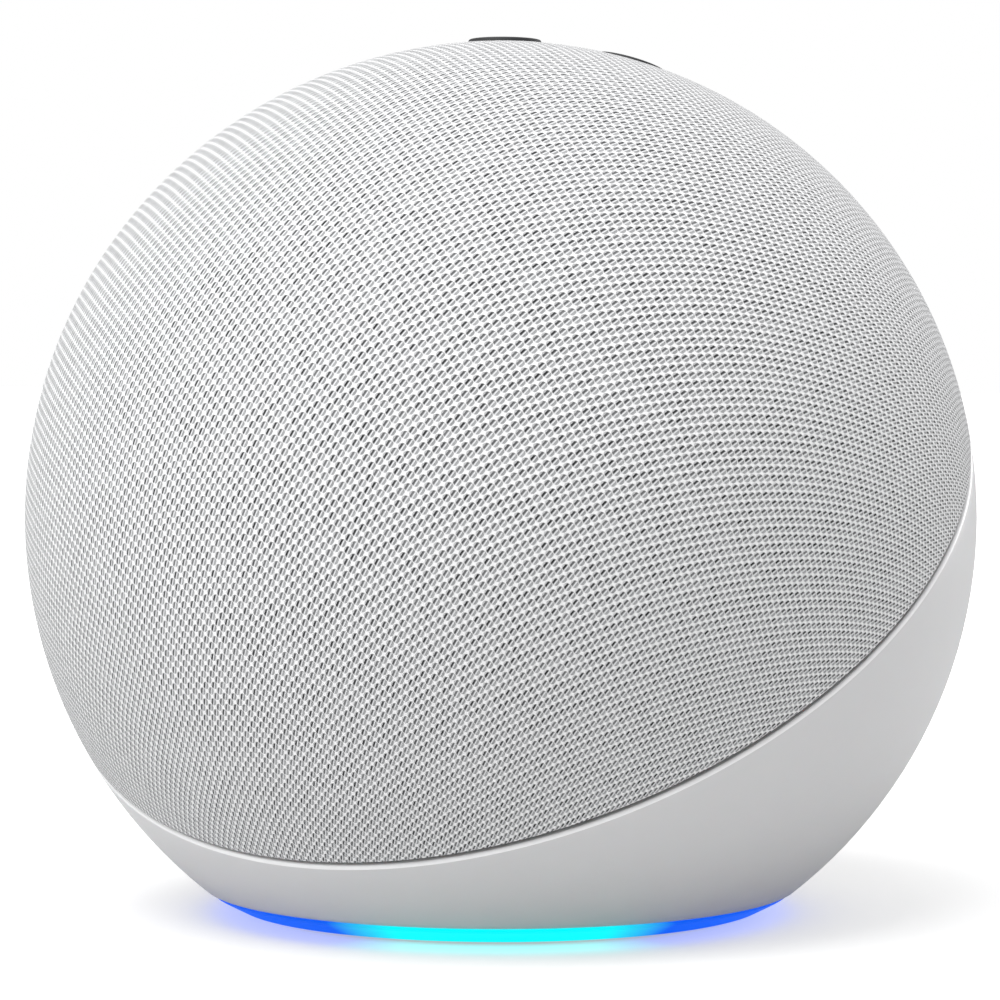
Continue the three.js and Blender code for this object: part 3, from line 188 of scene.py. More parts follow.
@dataclass(frozen=True)
class Finish:
    """A moulded or cast surface: an even colour with a fine grain.

    Attributes:
        name: The material's name.
        slot: The record's material slot; not used.
        colour: Base colour, sRGB hex.
        roughness: Mean roughness.
        metallic: 1 for a bare metal.
        grain: Width of the surface grain.
        relief: Depth of the grain.
        mottle: Share by which the colour wanders.
        stretch: Scale of the grain along X, Y and Z, for brushed or turned surfaces.
        gloss_spread: Share by which the roughness wanders.
        coat: Weight of a clear coat.
        sheen: Weight of a soft sheen.
        subsurface: Weight of the light that passes under the skin.
        skin_depth: How deep that light goes.
        fuzz: Roughness of the sheen.
        patches: Scale of the colour's patches against the grain's.
    """

    name: str
    slot: str
    colour: str
    roughness: float = 0.5
    metallic: float = 0.0
    grain: float = 0.4 * MM
    relief: float = 0.01 * MM
    mottle: float = 0.04
    stretch: tuple[float, float, float] = (1.0, 1.0, 1.0)
    gloss_spread: float = 0.08
    coat: float = 0.0
    sheen: float = 0.0
    subsurface: float = 0.0
    skin_depth: float = 2 * MM
    fuzz: float = 0.4
    patches: float = 0.08

    def build(self) -> bpy.types.Material:
        """Makes the material, once.

        Returns:
            The material, new or already made.
        """
        if self.name in bpy.data.materials:
            return bpy.data.materials[self.name]
        material = bpy.data.materials.new(self.name)
        material.use_nodes = True
        tree = material.node_tree
        surface = tree.nodes["Principled BSDF"]
        even = {"Metallic": self.metallic, "Roughness": self.roughness, "Coat Weight": self.coat,
                "Sheen Weight": self.sheen, "Sheen Roughness": self.fuzz,
                "Subsurface Weight": self.subsurface, "Subsurface Scale": self.skin_depth}
        for name, value in even.items():
            surface.inputs[name].default_value = value
        height = self.draw(tree, surface)
        bump = add_node(tree, "ShaderNodeBump",
                        {"Height": height, "Distance": self.relief, "Strength": 1.0})
        tree.links.new(bump.outputs[0], surface.inputs["Normal"])
        return material

    def place(self, tree: bpy.types.NodeTree) -> bpy.types.NodeSocket:
        """Coordinates of the piece in metres, stretched as the grain is."""
        source = add_node(tree, "ShaderNodeTexCoord").outputs["Object"]
        return add_node(tree, "ShaderNodeMapping", {"Vector": source, "Scale": self.stretch}).outputs[0]

    def draw(self, tree: bpy.types.NodeTree, surface: bpy.types.Node) -> bpy.types.NodeSocket:
        """Draws the colour and the gloss.

        Args:
            tree: The material's node tree.
            surface: Its Principled node.

        Returns:
            The height of the relief, from 0 to 1.
        """
        place = self.place(tree)
        grain = add_node(tree, "ShaderNodeTexNoise",
                         {"Vector": place, "Scale": 1 / self.grain, "Detail": 3.0})
        patches = add_node(tree, "ShaderNodeTexNoise",
                           {"Vector": place, "Scale": self.patches / self.grain, "Detail": 2.0})
        self.tint(tree, surface, patches.outputs[0])
        gloss = add_node(tree, "ShaderNodeMapRange", {
            "Value": patches.outputs[0],
            "To Min": self.roughness * (1 - self.gloss_spread),
            "To Max": self.roughness * (1 + self.gloss_spread),
        })
        tree.links.new(gloss.outputs[0], surface.inputs["Roughness"])
        return grain.outputs[0]

    def tint(self, tree: bpy.types.NodeTree, surface: bpy.types.Node,
             share: bpy.types.NodeSocket) -> None:
        """Lets the base colour wander between a darker and a lighter shade.

        Args:
            tree: The material's node tree.
            surface: Its Principled node.
            share: Where the colour stands between the two shades.
        """
        red, green, blue, _ = linear(self.colour)
        low, high = 1 - self.mottle, 1 + self.mottle
        mix = add_node(tree, "ShaderNodeMix", {
            0: share,
            6: (red * low, green * low, blue * low, 1),
            7: (min(red * high, 1), min(green * high, 1), min(blue * high, 1), 1),
        }, data_type="RGBA")
        tree.links.new(mix.outputs[2], surface.inputs["Base Color"])


@dataclass(frozen=True)
class KnitYarn(Finish):
    """Open polyester knit: white yarn round small dark eyes, each crossed by finer threads.

    Attributes:
        eye_colour: Colour deep inside an eye.
        thread_colour: Colour of the fine thread that crosses it.
        eye_inner: Radius of an eye's flat middle, in stitches.
        eye_outer: Radius of an eye with its soft edge, in stitches.
        slant: How far the crossing threads lean, in stitches of v for each of u.
        crossings: Crossing threads in one stitch.
        phase: Where the crossing threads start, in radians.
        gap_edge: Wave heights between which a thread gives way to a gap.
        faintest: Depth of the faintest eye, where 1 is the deepest.
        shade_edge: Half width of the step from an eye's pale side to its dark side.
        pale_side: Depth of an eye's pale side.
        fibres: Scale and height of the fibres.
        sink: How far an eye sinks.
    """

    eye_colour: str = "#17181A"
    thread_colour: str = "#E2E3E5"
    eye_inner: float = 0.34
    eye_outer: float = 0.52
    slant: float = 0.45
    crossings: float = 2.2
    phase: float = -1.19
    gap_edge: Point = (-0.65, 0.1)
    faintest: float = 0.78
    shade_edge: float = 0.2
    pale_side: float = 0.62
    fibres: Point = (9.0, 0.25)
    sink: float = 0.6

    def draw(self, tree: bpy.types.NodeTree, surface: bpy.types.Node) -> bpy.types.NodeSocket:
        """Draws one eye in each stitch of the surface map.

        Args:
            tree: The material's node tree.
            surface: Its Principled node.

        Returns:
            The height of the relief.
        """
        stitch = add_node(tree, "ShaderNodeUVMap", uv_map="stitches").outputs[0]
        cell = add_node(tree, "ShaderNodeVectorMath", {0: stitch}, operation="FLOOR").outputs[0]
        inside = add_node(tree, "ShaderNodeVectorMath", {0: stitch, 1: cell},
                          operation="SUBTRACT").outputs[0]
        centred = add_node(tree, "ShaderNodeVectorMath", {0: inside, 1: (0.5, 0.5, 0)},
                           operation="SUBTRACT").outputs[0]
        split = add_node(tree, "ShaderNodeSeparateXYZ", {0: centred})
        away = add_node(tree, "ShaderNodeVectorMath", {0: centred}, operation="LENGTH").outputs["Value"]
        eye = add_node(tree, "ShaderNodeMapRange", {
            "Value": away, "From Min": self.eye_outer, "From Max": self.eye_inner,
        }, interpolation_type="SMOOTHSTEP").outputs[0]
        across = add_node(tree, "ShaderNodeMath", {
            0: split.outputs[1], 1: self.slant, 2: split.outputs[0],
        }, operation="MULTIPLY_ADD").outputs[0]
        turn = add_node(tree, "ShaderNodeMath", {
            0: across, 1: 2 * math.pi * self.crossings, 2: self.phase,
        }, operation="MULTIPLY_ADD").outputs[0]
        wave = add_node(tree, "ShaderNodeMath", {0: turn}, operation="SINE").outputs[0]
        gap = add_node(tree, "ShaderNodeMapRange", {
            "Value": wave, "From Min": self.gap_edge[0], "From Max": self.gap_edge[1],
        }, interpolation_type="SMOOTHSTEP").outputs[0]
        chance = add_node(tree, "ShaderNodeTexWhiteNoise", {"Vector": cell},
                          noise_dimensions="2D").outputs["Value"]
        depth = add_node(tree, "ShaderNodeMapRange", {
            "Value": chance, "To Min": self.faintest, "To Max": 1.0,
        }).outputs[0]
        shade = add_node(tree, "ShaderNodeMapRange", {
            "Value": across, "From Min": -self.shade_edge, "From Max": self.shade_edge,
            "To Min": self.pale_side, "To Max": 1.0,
        }).outputs[0]
        deep = eye
        for share in (gap, depth, shade):
            deep = add_node(tree, "ShaderNodeMath", {0: deep, 1: share},
                            operation="MULTIPLY").outputs[0]
        threads = add_node(tree, "ShaderNodeMix", {
            0: eye, 6: linear(self.colour), 7: linear(self.thread_colour),
        }, data_type="RGBA").outputs[2]
        colour = add_node(tree, "ShaderNodeMix", {
            0: deep, 6: threads, 7: linear(self.eye_colour),
        }, data_type="RGBA").outputs[2]
        tree.links.new(colour, surface.inputs["Base Color"])
        scale, rise = self.fibres
        fibres = add_node(tree, "ShaderNodeTexNoise", {
            "Vector": stitch, "Scale": scale, "Detail": 2.0,
        }).outputs[0]
        open_yarn = add_node(tree, "ShaderNodeMath", {0: 1.0, 1: eye}, operation="SUBTRACT").outputs[0]
        crossed = add_node(tree, "ShaderNodeMath", {0: deep, 1: -self.sink, 2: open_yarn},
                           operation="MULTIPLY_ADD").outputs[0]
        return add_node(tree, "ShaderNodeMath", {0: fibres, 1: rise, 2: crossed},
                        operation="MULTIPLY_ADD").outputs[0]


@dataclass(frozen=True)
class LitDiffuser(Finish):
    """Frosted acrylic lit from inside: a cyan arc faces the listener, the rest is blue.

    Attributes:
        arc_colour: Colour of the arc.
        edge_colour: Colour where the arc fades.
        shoulder_colour: Colour between the two.
        arc_azimuth: Where the arc points, from -Y towards +X.
        glow: Strength of the light.
        fade: Degrees from the arc's middle at which each colour is reached, from blue to cyan.
        own_share: Share of the light's colour that the acrylic itself shows.
    """

    arc_colour: str = "#04FBFF"
    edge_colour: str = "#29A2F5"
    shoulder_colour: str = "#25D1F6"
    arc_azimuth: float = math.radians(30.6)
    glow: float = 0.95
    fade: tuple[float, float, float, float] = (35, 31, 26, 21)
    own_share: float = 0.05

    def draw(self, tree: bpy.types.NodeTree, surface: bpy.types.Node) -> bpy.types.NodeSocket:
        """Colours the ring by its direction from the ball's axis.

        Args:
            tree: The material's node tree.
            surface: Its Principled node.

        Returns:
            The height of the relief.
        """
        place = add_node(tree, "ShaderNodeTexCoord").outputs["Object"]
        flat = add_node(tree, "ShaderNodeVectorMath", {0: place, 1: (1, 1, 0)}, operation="MULTIPLY")
        unit = add_node(tree, "ShaderNodeVectorMath", {0: flat.outputs[0]}, operation="NORMALIZE")
        towards = (math.sin(self.arc_azimuth), -math.cos(self.arc_azimuth), 0)
        facing = add_node(tree, "ShaderNodeVectorMath", {0: unit.outputs[0], 1: towards},
                          operation="DOT_PRODUCT").outputs["Value"]
        stops = zip((180, *self.fade), (self.colour, self.colour, self.edge_colour,
                                        self.shoulder_colour, self.arc_colour))
        ramp = add_node(tree, "ShaderNodeValToRGB", {0: add_node(tree, "ShaderNodeMapRange", {
            "Value": facing, "From Min": -1.0, "From Max": 1.0,
        }).outputs[0]})
        elements = ramp.color_ramp.elements
        for index, (degrees, colour) in enumerate(stops):
            where = (1 + math.cos(math.radians(degrees))) / 2
            element = elements[index] if index < 2 else elements.new(where)
            element.position = where
            element.color = linear(colour)
        frost = add_node(tree, "ShaderNodeTexNoise", {"Vector": place, "Scale": 1 / self.grain})
        dimmed = add_node(tree, "ShaderNodeVectorMath", {0: ramp.outputs[0], 1: (self.own_share,) * 3},
                          operation="MULTIPLY")
        tree.links.new(dimmed.outputs[0], surface.inputs["Base Color"])
        tree.links.new(ramp.outputs[0], surface.inputs["Emission Color"])
        surface.inputs["Specular IOR Level"].default_value = 0.2
        surface.inputs["Emission Strength"].default_value = self.glow
        return frost.outputs[0]


@dataclass(frozen=True)
class BoardLaminate(Finish):
    """Glass-epoxy circuit board under solder mask, with etched tracks and tinned pads.

    Attributes:
        track_colour: Colour of the tracks under the mask.
        pad_colour: Colour of the tinned pads.
        track_pitch: Spacing of the tracks.
        track_width: Width of a track.
        pad_edge: Outer and inner radius of a pad's edge, in cells.
    """

    track_colour: str = "#2E7A50"
    pad_colour: str = "#C9CBC8"
    track_pitch: float = 2.2 * MM
    track_width: float = 0.14 * MM
    pad_edge: Point = (0.16, 0.12)

    def draw(self, tree: bpy.types.NodeTree, surface: bpy.types.Node) -> bpy.types.NodeSocket:
        """Draws the tracks as a brick bond's joints, and round pads among them.

        Args:
            tree: The material's node tree.
            surface: Its Principled node.

        Returns:
            The height of the relief.
        """
        place = self.place(tree)
        tracks = add_node(tree, "ShaderNodeTexBrick", {
            "Vector": place, "Color1": linear(self.colour), "Color2": linear(self.colour),
            "Mortar": linear(self.track_colour), "Scale": 1.0, "Mortar Size": self.track_width,
            "Brick Width": 3.1 * self.track_pitch, "Row Height": self.track_pitch,
        })
        spots = add_node(tree, "ShaderNodeTexVoronoi",
                         {"Vector": place, "Scale": 0.5 / self.track_pitch})
        pads = add_node(tree, "ShaderNodeMapRange", {
            "Value": spots.outputs["Distance"],
            "From Min": self.pad_edge[0], "From Max": self.pad_edge[1],
        }).outputs[0]
        colour = add_node(tree, "ShaderNodeMix", {
            0: pads, 6: tracks.outputs["Color"], 7: linear(self.pad_colour),
        }, data_type="RGBA").outputs[2]
        tree.links.new(colour, surface.inputs["Base Color"])
        tree.links.new(pads, surface.inputs["Metallic"])
        return tracks.outputs["Fac"]


@dataclass(frozen=True)
class PoredFoam(Finish):
    """Open-cell polyurethane foam: small round pores with thin walls."""

    def draw(self, tree: bpy.types.NodeTree, surface: bpy.types.Node) -> bpy.types.NodeSocket:
        """Draws the pores darker and deeper than their walls.

        Args:
            tree: The material's node tree.
            surface: Its Principled node.

        Returns:
            The height of the relief.
        """
        pores = add_node(tree, "ShaderNodeTexVoronoi",
                         {"Vector": self.place(tree), "Scale": 1 / self.grain})
        self.tint(tree, surface, pores.outputs["Distance"])
        return pores.outputs["Distance"]


class Finishes:
    """Every finish of the speaker, by what it is and how it was made."""

    # Dope-dyed polyester knit: matt, soft at grazing angles, with eyes 1.35 mm apart
    COVER = KnitYarn("white_polyester_knit", "knit_fabric", "#F6F6F7", 0.92,
                     relief=0.16 * MM, sheen=0.25)
    # Injection-moulded ABS with a fine eroded texture: satin, no sharp reflections
    BOWL = Finish("satin_white_abs", "white_plastic", "#D6D6D7", 0.44, grain=0.32 * MM,
                  relief=0.006 * MM, mottle=0.012, subsurface=0.05)
    # The same ABS along the seam's chamfer, painted whiter as a highlight, with a lower roughness and a
    # clear coat
    LIP_HIGHLIGHT = Finish("white_abs_painted_highlight", "white_plastic", "#FBFBFC", 0.22, grain=0.5 * MM,
                 relief=0.002 * MM, mottle=0.01, coat=0.4)
    BASE = Finish("moulded_white_abs", "white_plastic", "#D6D6D8", 0.55, grain=0.5 * MM,
                  relief=0.015 * MM, mottle=0.02)
    # Frosted acrylic light guide, lit by twelve LEDs
    LIGHT = LitDiffuser("frosted_lit_acrylic", "light_plastic", "#0C5FF5", 0.35,
                        grain=0.3 * MM, relief=0.004 * MM)
    # Soft-touch painted buttons: charcoal, with a fine matt tooth
    BUTTON = Finish("soft_touch_charcoal", "button_plastic", "#2C2D2F", 0.62, grain=0.18 * MM,
                    relief=0.008 * MM, mottle=0.05)
    INK = Finish("pad_printed_grey_ink", "button_plastic", "#B9BABB", 0.5, grain=0.15 * MM,
                 relief=0.002 * MM)
    INNER = Finish("moulded_black_abs", "inner_plastic", "#232426", 0.55, grain=0.4 * MM,
                   relief=0.02 * MM, mottle=0.08)
    PANEL = Finish("eroded_grey_abs", "inner_plastic", "#38393B", 0.6, grain=0.25 * MM,
                   relief=0.02 * MM, mottle=0.06)
    # Compression-moulded silicone rubber: dull, with dust-fine pitting
    RUBBER = Finish("moulded_silicone_rubber", "rubber", "#4A4B4D", 0.82, grain=0.35 * MM,
                    relief=0.02 * MM, mottle=0.08, sheen=0.1)
    # Turned brass: the tool leaves fine rings round the axis
    BRASS = Finish("turned_brass", "brass", "#C9A14C", 0.3, 1.0, grain=0.3 * MM,
                   relief=0.004 * MM, mottle=0.06, stretch=(0.3, 0.3, 3.0))
    STEEL = Finish("zinc_plated_steel", "steel", "#B9BABD", 0.36, 1.0, grain=0.5 * MM,
                   relief=0.006 * MM, mottle=0.08, gloss_spread=0.25)
    PRESSED = Finish("pressed_tinned_steel", "steel", "#A9ABAE", 0.42, 1.0, grain=0.6 * MM,
                     relief=0.008 * MM, mottle=0.1, gloss_spread=0.3)
    # Extruded aluminium: fine lines along the die's direction
    ALUMINIUM = Finish("extruded_aluminium", "aluminium", "#CDCED0", 0.38, 1.0, grain=0.5 * MM,
                       relief=0.01 * MM, mottle=0.05, stretch=(1.0, 0.06, 1.0))
    BOARD = BoardLaminate("green_glass_epoxy", "circuit_board", "#14492E", 0.4,
                          relief=0.03 * MM, coat=0.3)
    # Pressed paper pulp: long fibres, quite dull
    CONE = Finish("pressed_paper_pulp", "cone_paper", "#222326", 0.85, grain=0.7 * MM,
                  relief=0.04 * MM, mottle=0.18, stretch=(1.0, 0.4, 0.6))
    # Enamelled copper wire, wound in close turns round the coil's axis
    COPPER = Finish("enamelled_copper_wire", "copper", "#B5683A", 0.3, 1.0, grain=0.28 * MM,
                    relief=0.03 * MM, mottle=0.12, stretch=(0.1, 0.8, 1.6))
    FOAM = PoredFoam("open_cell_foam", "foam", "#2B2C2F", 0.95, grain=0.6 * MM,
                     relief=0.12 * MM, mottle=0.3)
    SILK = Finish("coated_silk_dome", "silk", "#4C4D51", 0.7, grain=0.22 * MM,
                  relief=0.02 * MM, mottle=0.1, sheen=0.3)
    SPIDER = Finish("resined_cotton_cloth", "film", "#B9812F", 0.8, grain=0.35 * MM,
                    relief=0.05 * MM, mottle=0.14, sheen=0.15)
    FILM = Finish("polyimide_film", "film", "#BE7F2C", 0.3, grain=0.9 * MM,
                  relief=0.01 * MM, mottle=0.1, coat=0.4)


# ---- Mesh work ---------------------------------------------------------------------------


def new_object(name: str, data: bpy.types.ID) -> bpy.types.Object:
    """Makes an object and links it to the scene.

    Args:
        name: The object's name.
        data: Its mesh, camera or light.

    Returns:
        The new object.
    """
    obj = bpy.data.objects.new(name, data)
    bpy.context.scene.collection.objects.link(obj)
    return obj


def make_object(name: str, points: Iterable[Sequence[float]], faces: Iterable[Sequence[int]],
                sharp: float = SHARP) -> bpy.types.Object:
    """Makes a closed, smooth-shaded mesh with its faces outwards.

    Args:
        name: The piece's name.
        points: The vertices, in metres.
        faces: Vertex numbers of each face.
        sharp: Edges that fold by more than this many degrees stay crisp.

    Returns:
        The new object, linked to the scene.
    """
    mesh = bpy.data.meshes.new(name)
    mesh.from_pydata([tuple(map(float, p)) for p in points], [], [tuple(map(int, f)) for f in faces])
    work = bmesh.new()
    work.from_mesh(mesh)
    bmesh.ops.remove_doubles(work, verts=work.verts, dist=1e-7)
    bmesh.ops.recalc_face_normals(work, faces=work.faces)
    crease(work, sharp)
    work.to_mesh(mesh)
    work.free()
    return new_object(name, mesh)


def crease(work: bmesh.types.BMesh, sharp: float) -> None:
    """Shades a mesh smooth, with crisp edges where it folds.

    Args:
        work: The mesh.
        sharp: The fold, in degrees, from which an edge is crisp.
    """
    limit = math.radians(sharp)
    for face in work.faces:
        face.smooth = True
    for edge in work.edges:
        edge.smooth = not (edge.is_manifold and edge.calc_face_angle() > limit)


def quads(rows: int, count: int, wrap: bool = False) -> list[tuple[int, ...]]:
    """Faces between rows of points, each row joined to the next all the way round.

    Args:
        rows: Number of rows.
        count: Points in a row.
        wrap: Whether the last row joins the first.

    Returns:
        Vertex numbers of each face.
    """
    faces = []
    for row in range(rows if wrap else rows - 1):
        low, high = row * count, (row + 1) % rows * count
        for i in range(count):
            j = (i + 1) % count
            faces.append((low + i, low + j, high + j, high + i))
    return faces


def loft(name: str, rings: Sequence[Ring], closed: bool, sharp: float = SHARP) -> bpy.types.Object:
    """Joins rings of points into a skin.

    Args:
        name: The piece's name.
        rings: Arrays of the same number of points, in order along the section.
        closed: Whether the last ring joins the first; otherwise each end has a cap or a pole.
        sharp: Edges that fold by more than this many degrees stay crisp.

    Returns:
        The new object.
    """
    rows, count = len(rings), len(rings[0])
    faces = quads(rows, count, closed)
    if not closed:
        faces.append(tuple(range(count))[::-1])
        faces.append(tuple(range((rows - 1) * count, rows * count)))
    return make_object(name, np.concatenate(rings), faces, sharp)


def lathe(name: str, outline: Sequence[Point], place: Matrix, segments: int = 96,
          closed: bool = True, sharp: float = SHARP) -> bpy.types.Object:
    """Turns an outline of (radius, height) about a frame's Z.

    Args:
        name: The piece's name.
        outline: The section's points, in metres.
        place: The frame that the piece is turned in.
        segments: Number of steps round.
        closed: Whether the outline closes on itself; otherwise it starts and ends on the axis.
        sharp: Edges that fold by more than this many degrees stay crisp.

    Returns:
        The new object.
    """
    turn = np.linspace(0, 2 * math.pi, segments, endpoint=False)
    rings = [placed(np.stack([r * np.cos(turn), r * np.sin(turn), np.full(segments, z)], 1), place)
             for r, z in outline]
    return loft(name, rings, closed, sharp)


def drum(name: str, radius: float, low: float, high: float, place: Matrix,
         segments: int) -> bpy.types.Object:
    """A plain cylinder between two heights of a frame.

    Args:
        name: The piece's name.
        radius: Its radius.
        low: Its lower end.
        high: Its upper end.
        place: The frame.
        segments: Number of steps round.

    Returns:
        The cylinder.
    """
    outline = [(0, low), (radius, low), (radius, high), (0, high)]
    return lathe(name, outline, place, segments, closed=False)


def placed(points: Ring, place: Matrix) -> Ring:
    """Points of a frame, given in the model's frame."""
    whole = np.array(place)
    return points @ whole[:3, :3].T + whole[:3, 3]


def rounded(outline: Sequence[Point], radius: float, steps: int = 4) -> list[Point]:
    """Rounds the corners of a closed outline.

    Args:
        outline: The corners, in metres.
        radius: The fillet's radius; it is cut back where an edge is short.
        steps: Points on each fillet, less one.

    Returns:
        The rounded outline.
    """
    corners = [Vector(p) for p in outline]
    result: list[Point] = []
    for i, corner in enumerate(corners):
        before, after = corners[i - 1] - corner, corners[(i + 1) % len(corners)] - corner
        half = before.angle(after) / 2
        if half > math.radians(80):
            result.append(tuple(corner))
            continue
        reach = min(radius / math.tan(half), 0.45 * before.length, 0.45 * after.length)
        start, end = corner + before.normalized() * reach, corner + after.normalized() * reach
        for step in range(steps + 1):
            t = step / steps
            result.append(tuple(start.lerp(corner, t).lerp(corner.lerp(end, t), t)))
    return result


def arc(radius: float, start: float, end: float, steps: int) -> list[Point]:
    """Points of a circle about the origin, between two angles in radians."""
    return [(radius * math.cos(a), radius * math.sin(a)) for a in np.linspace(start, end, steps + 1)]


def chord(radius: float, height: float) -> float:
    """Radius of the circle that a plane at a height cuts from a ball."""
    return math.sqrt(radius ** 2 - height ** 2)


def applied(obj: bpy.types.Object, sharp: float | None = SHARP) -> bpy.types.Object:
    """Turns a piece's modifiers into plain mesh and removes them.

    Args:
        obj: The piece.
        sharp: Edges that fold by more than this many degrees stay crisp; None leaves them.

    Returns:
        The same object with its final mesh.
    """
    graph = bpy.context.evaluated_depsgraph_get()
    mesh = bpy.data.meshes.new_from_object(obj.evaluated_get(graph), depsgraph=graph)
    obj.modifiers.clear()
    if sharp is not None:
        work = bmesh.new()
        work.from_mesh(mesh)
        bmesh.ops.remove_doubles(work, verts=work.verts, dist=1e-7)
        crease(work, sharp)
        work.to_mesh(mesh)
        work.free()
    mesh.name = obj.name
    obj.data = mesh
    return obj


def cut(obj: bpy.types.Object, tools: Sequence[bpy.types.Object], operation: str = "DIFFERENCE",
        sharp: float = SHARP) -> bpy.types.Object:
    """Cuts, or joins, other shapes and then removes them.

    Args:
        obj: The piece that is kept.
        tools: The other shapes.
        operation: DIFFERENCE, UNION or INTERSECT.
        sharp: Edges that fold by more than this many degrees stay crisp.

    Returns:
        The piece with its final mesh.
    """
    for tool in tools:
        step = obj.modifiers.new("cut", "BOOLEAN")
        step.operation = operation
        step.solver = "EXACT"
        step.object = tool
    bpy.context.view_layer.update()
    applied(obj, sharp)
    for tool in tools:
        bpy.data.objects.remove(tool)
    return obj


def hand_over(obj: bpy.types.Object, finish: Finish, body: str, *nodes: str) -> bpy.types.Object:
    """Dresses a piece, puts it on its body and hides the CAD nodes that it stands for.

    Args:
        obj: The piece.
        finish: Its finish.
        body: The body that it rides on.
        *nodes: The CAD nodes that it replaces.

    Returns:
        The same piece.
    """
    obj.data.materials.clear()
    obj.data.materials.append(finish.build())
    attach(obj, body)
    if nodes:
        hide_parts(*nodes)
    log.info("%s: %d faces in %s, on %s", obj.name, len(obj.data.polygons), finish.name, body)
    return obj


# ---- Cover -------------------------------------------------------------------------------


@dataclass
class Cover:
    """The knitted cover, stretched over the grille and turned in at its edges.

    Attributes:
        thickness: Thickness of the knit.
        columns: Steps round the seam's axis.
        rows: Steps from the seam to the pole.
        turn_in: How far the cloth curves in at an edge.
        turn_width: Width over which it curves in.
        hole: Radius of a button's hole.
        swell: How far the cloth stands proud round a button.
        swell_width: Width of that swelling.
        stitch: Size of a stitch along its two directions.
        bias: Directions of the stitches about the seam's axis.
        ease: Share by which the stitches open away from the middle.
    """

    thickness: float = 0.9 * MM
    columns: int = 384
    rows: int = 104
    turn_in: float = 0.6 * MM
    turn_width: float = 0.9 * MM
    hole: float = 5.75 * MM
    swell: float = 0.08 * MM
    swell_width: float = 2.4 * MM
    stitch: Point = (1.344 * MM, 1.360 * MM)
    bias: Point = (math.radians(130.68), math.radians(139.1))
    ease: float = 0.0195

    def button_middles(self) -> np.ndarray:
        """Middles of the buttons in the pad's plane."""
        return np.array([[math.cos(k.angle), math.sin(k.angle)] for k in Key]) * ButtonPad.circle

    def build(self) -> bpy.types.Object:
        """Returns:
            The cover.
        """
        obj = self.dome()
        self.open_holes(obj)
        self.shape_edges(obj)
        self.map_stitches(obj)
        wall = obj.modifiers.new("wall", "SOLIDIFY")
        wall.thickness = self.thickness
        wall.offset = -1
        wall.use_even_offset = True
        applied(obj, None)
        hand_over(obj, Finishes.COVER, Body.CABINET.value, "fabric_skin")
        return obj

    def dome(self) -> bpy.types.Object:
        """The smooth skin from the seam to the pole, before its holes are opened.

        Returns:
            The skin.
        """
        low = math.asin((BALL.seam + BALL.seam_gap / 2) / BALL.radius)
        fine = low + np.array([0.0, 0.2, 0.45, 0.75, 1.1]) * MM / BALL.radius
        even = np.linspace(fine[-1], math.pi / 2 - 0.006, self.rows)[1:]
        turn = np.linspace(0, 2 * math.pi, self.columns, endpoint=False)
        rings = [np.stack([np.cos(turn) * math.cos(a), np.sin(turn) * math.cos(a),
                           np.full(self.columns, math.sin(a))], 1) for a in (*fine, *even)]
        points = placed(np.concatenate(rings) * BALL.radius, SEAM_FRAME)
        pole = placed(np.array([[0, 0, BALL.radius]]), SEAM_FRAME)
        faces = quads(len(rings), self.columns)
        top = (len(rings) - 1) * self.columns
        faces += [(top + i, top + (i + 1) % self.columns, len(points)) for i in range(self.columns)]
        mesh = bpy.data.meshes.new("knit_cover")
        mesh.from_pydata([tuple(p) for p in np.concatenate([points, pole])], [], faces)
        return new_object("knit_cover", mesh)

    def pad_places(self, points: Ring) -> tuple[Ring, Ring]:
        """Places in the pad's frame, and each one's distance to the nearest button.

        Args:
            points: Points in the model's frame.

        Returns:
            The places, and the distances in the pad's plane.
        """
        local = placed(points, PAD_FRAME.inverted())
        away = np.min([np.hypot(*(local[:, :2] - m).T) for m in self.button_middles()], axis=0)
        return local, np.where(local[:, 2] > 0, away, 1.0)

    def open_holes(self, obj: bpy.types.Object) -> None:
        """Opens a round hole for each button and fits its edge to the circle.

        Args:
            obj: The cover.
        """
        work = bmesh.new()
        work.from_mesh(obj.data)
        points = np.array([v.co for v in work.verts])
        _, away = self.pad_places(points)
        inside = [v for v, d in zip(list(work.verts), away) if d < self.hole]
        bmesh.ops.delete(work, geom=inside, context="VERTS")
        seam = BALL.seam + 2 * BALL.seam_gap
        for vert in [v for v in work.verts if v.is_boundary]:
            local = PAD_FRAME.inverted() @ vert.co
            if (SEAM_FRAME.inverted() @ vert.co).z < seam:
                continue
            flat = Vector(local.xy)
            middle = min((Vector(m) for m in self.button_middles()), key=lambda m: (flat - m).length)
            edge = middle + (flat - middle).normalized() * self.hole
            vert.co = PAD_FRAME @ Vector((*edge, chord(BALL.radius, edge.length)))
        bmesh.ops.recalc_face_normals(work, faces=work.faces)
        for face in work.faces:
            face.smooth = True
        work.to_mesh(obj.data)
        work.free()

    def shape_edges(self, obj: bpy.types.Object) -> None:
        """Swells the cloth round the buttons and turns it in at every edge.

        Args:
            obj: The cover.
        """
        points = np.array([v.co for v in obj.data.vertices])
        _, away = self.pad_places(points)
        seam_height = placed(points, SEAM_FRAME.inverted())[:, 2] - (BALL.seam + BALL.seam_gap / 2)
        rise = self.swell * np.exp(-(((away - self.hole) / self.swell_width) ** 2))
        edge = np.minimum(away - self.hole, seam_height)
        near = np.clip(1 - edge / self.turn_width, 0, 1)
        fall = self.turn_in * (1 - np.sqrt(1 - near ** 2))
        middle = np.array([0, 0, BALL.centre])
        out = (points - middle) / np.linalg.norm(points - middle, axis=1)[:, None]
        moved = points + out * (rise - fall)[:, None]
        obj.data.vertices.foreach_set("co", moved.ravel())

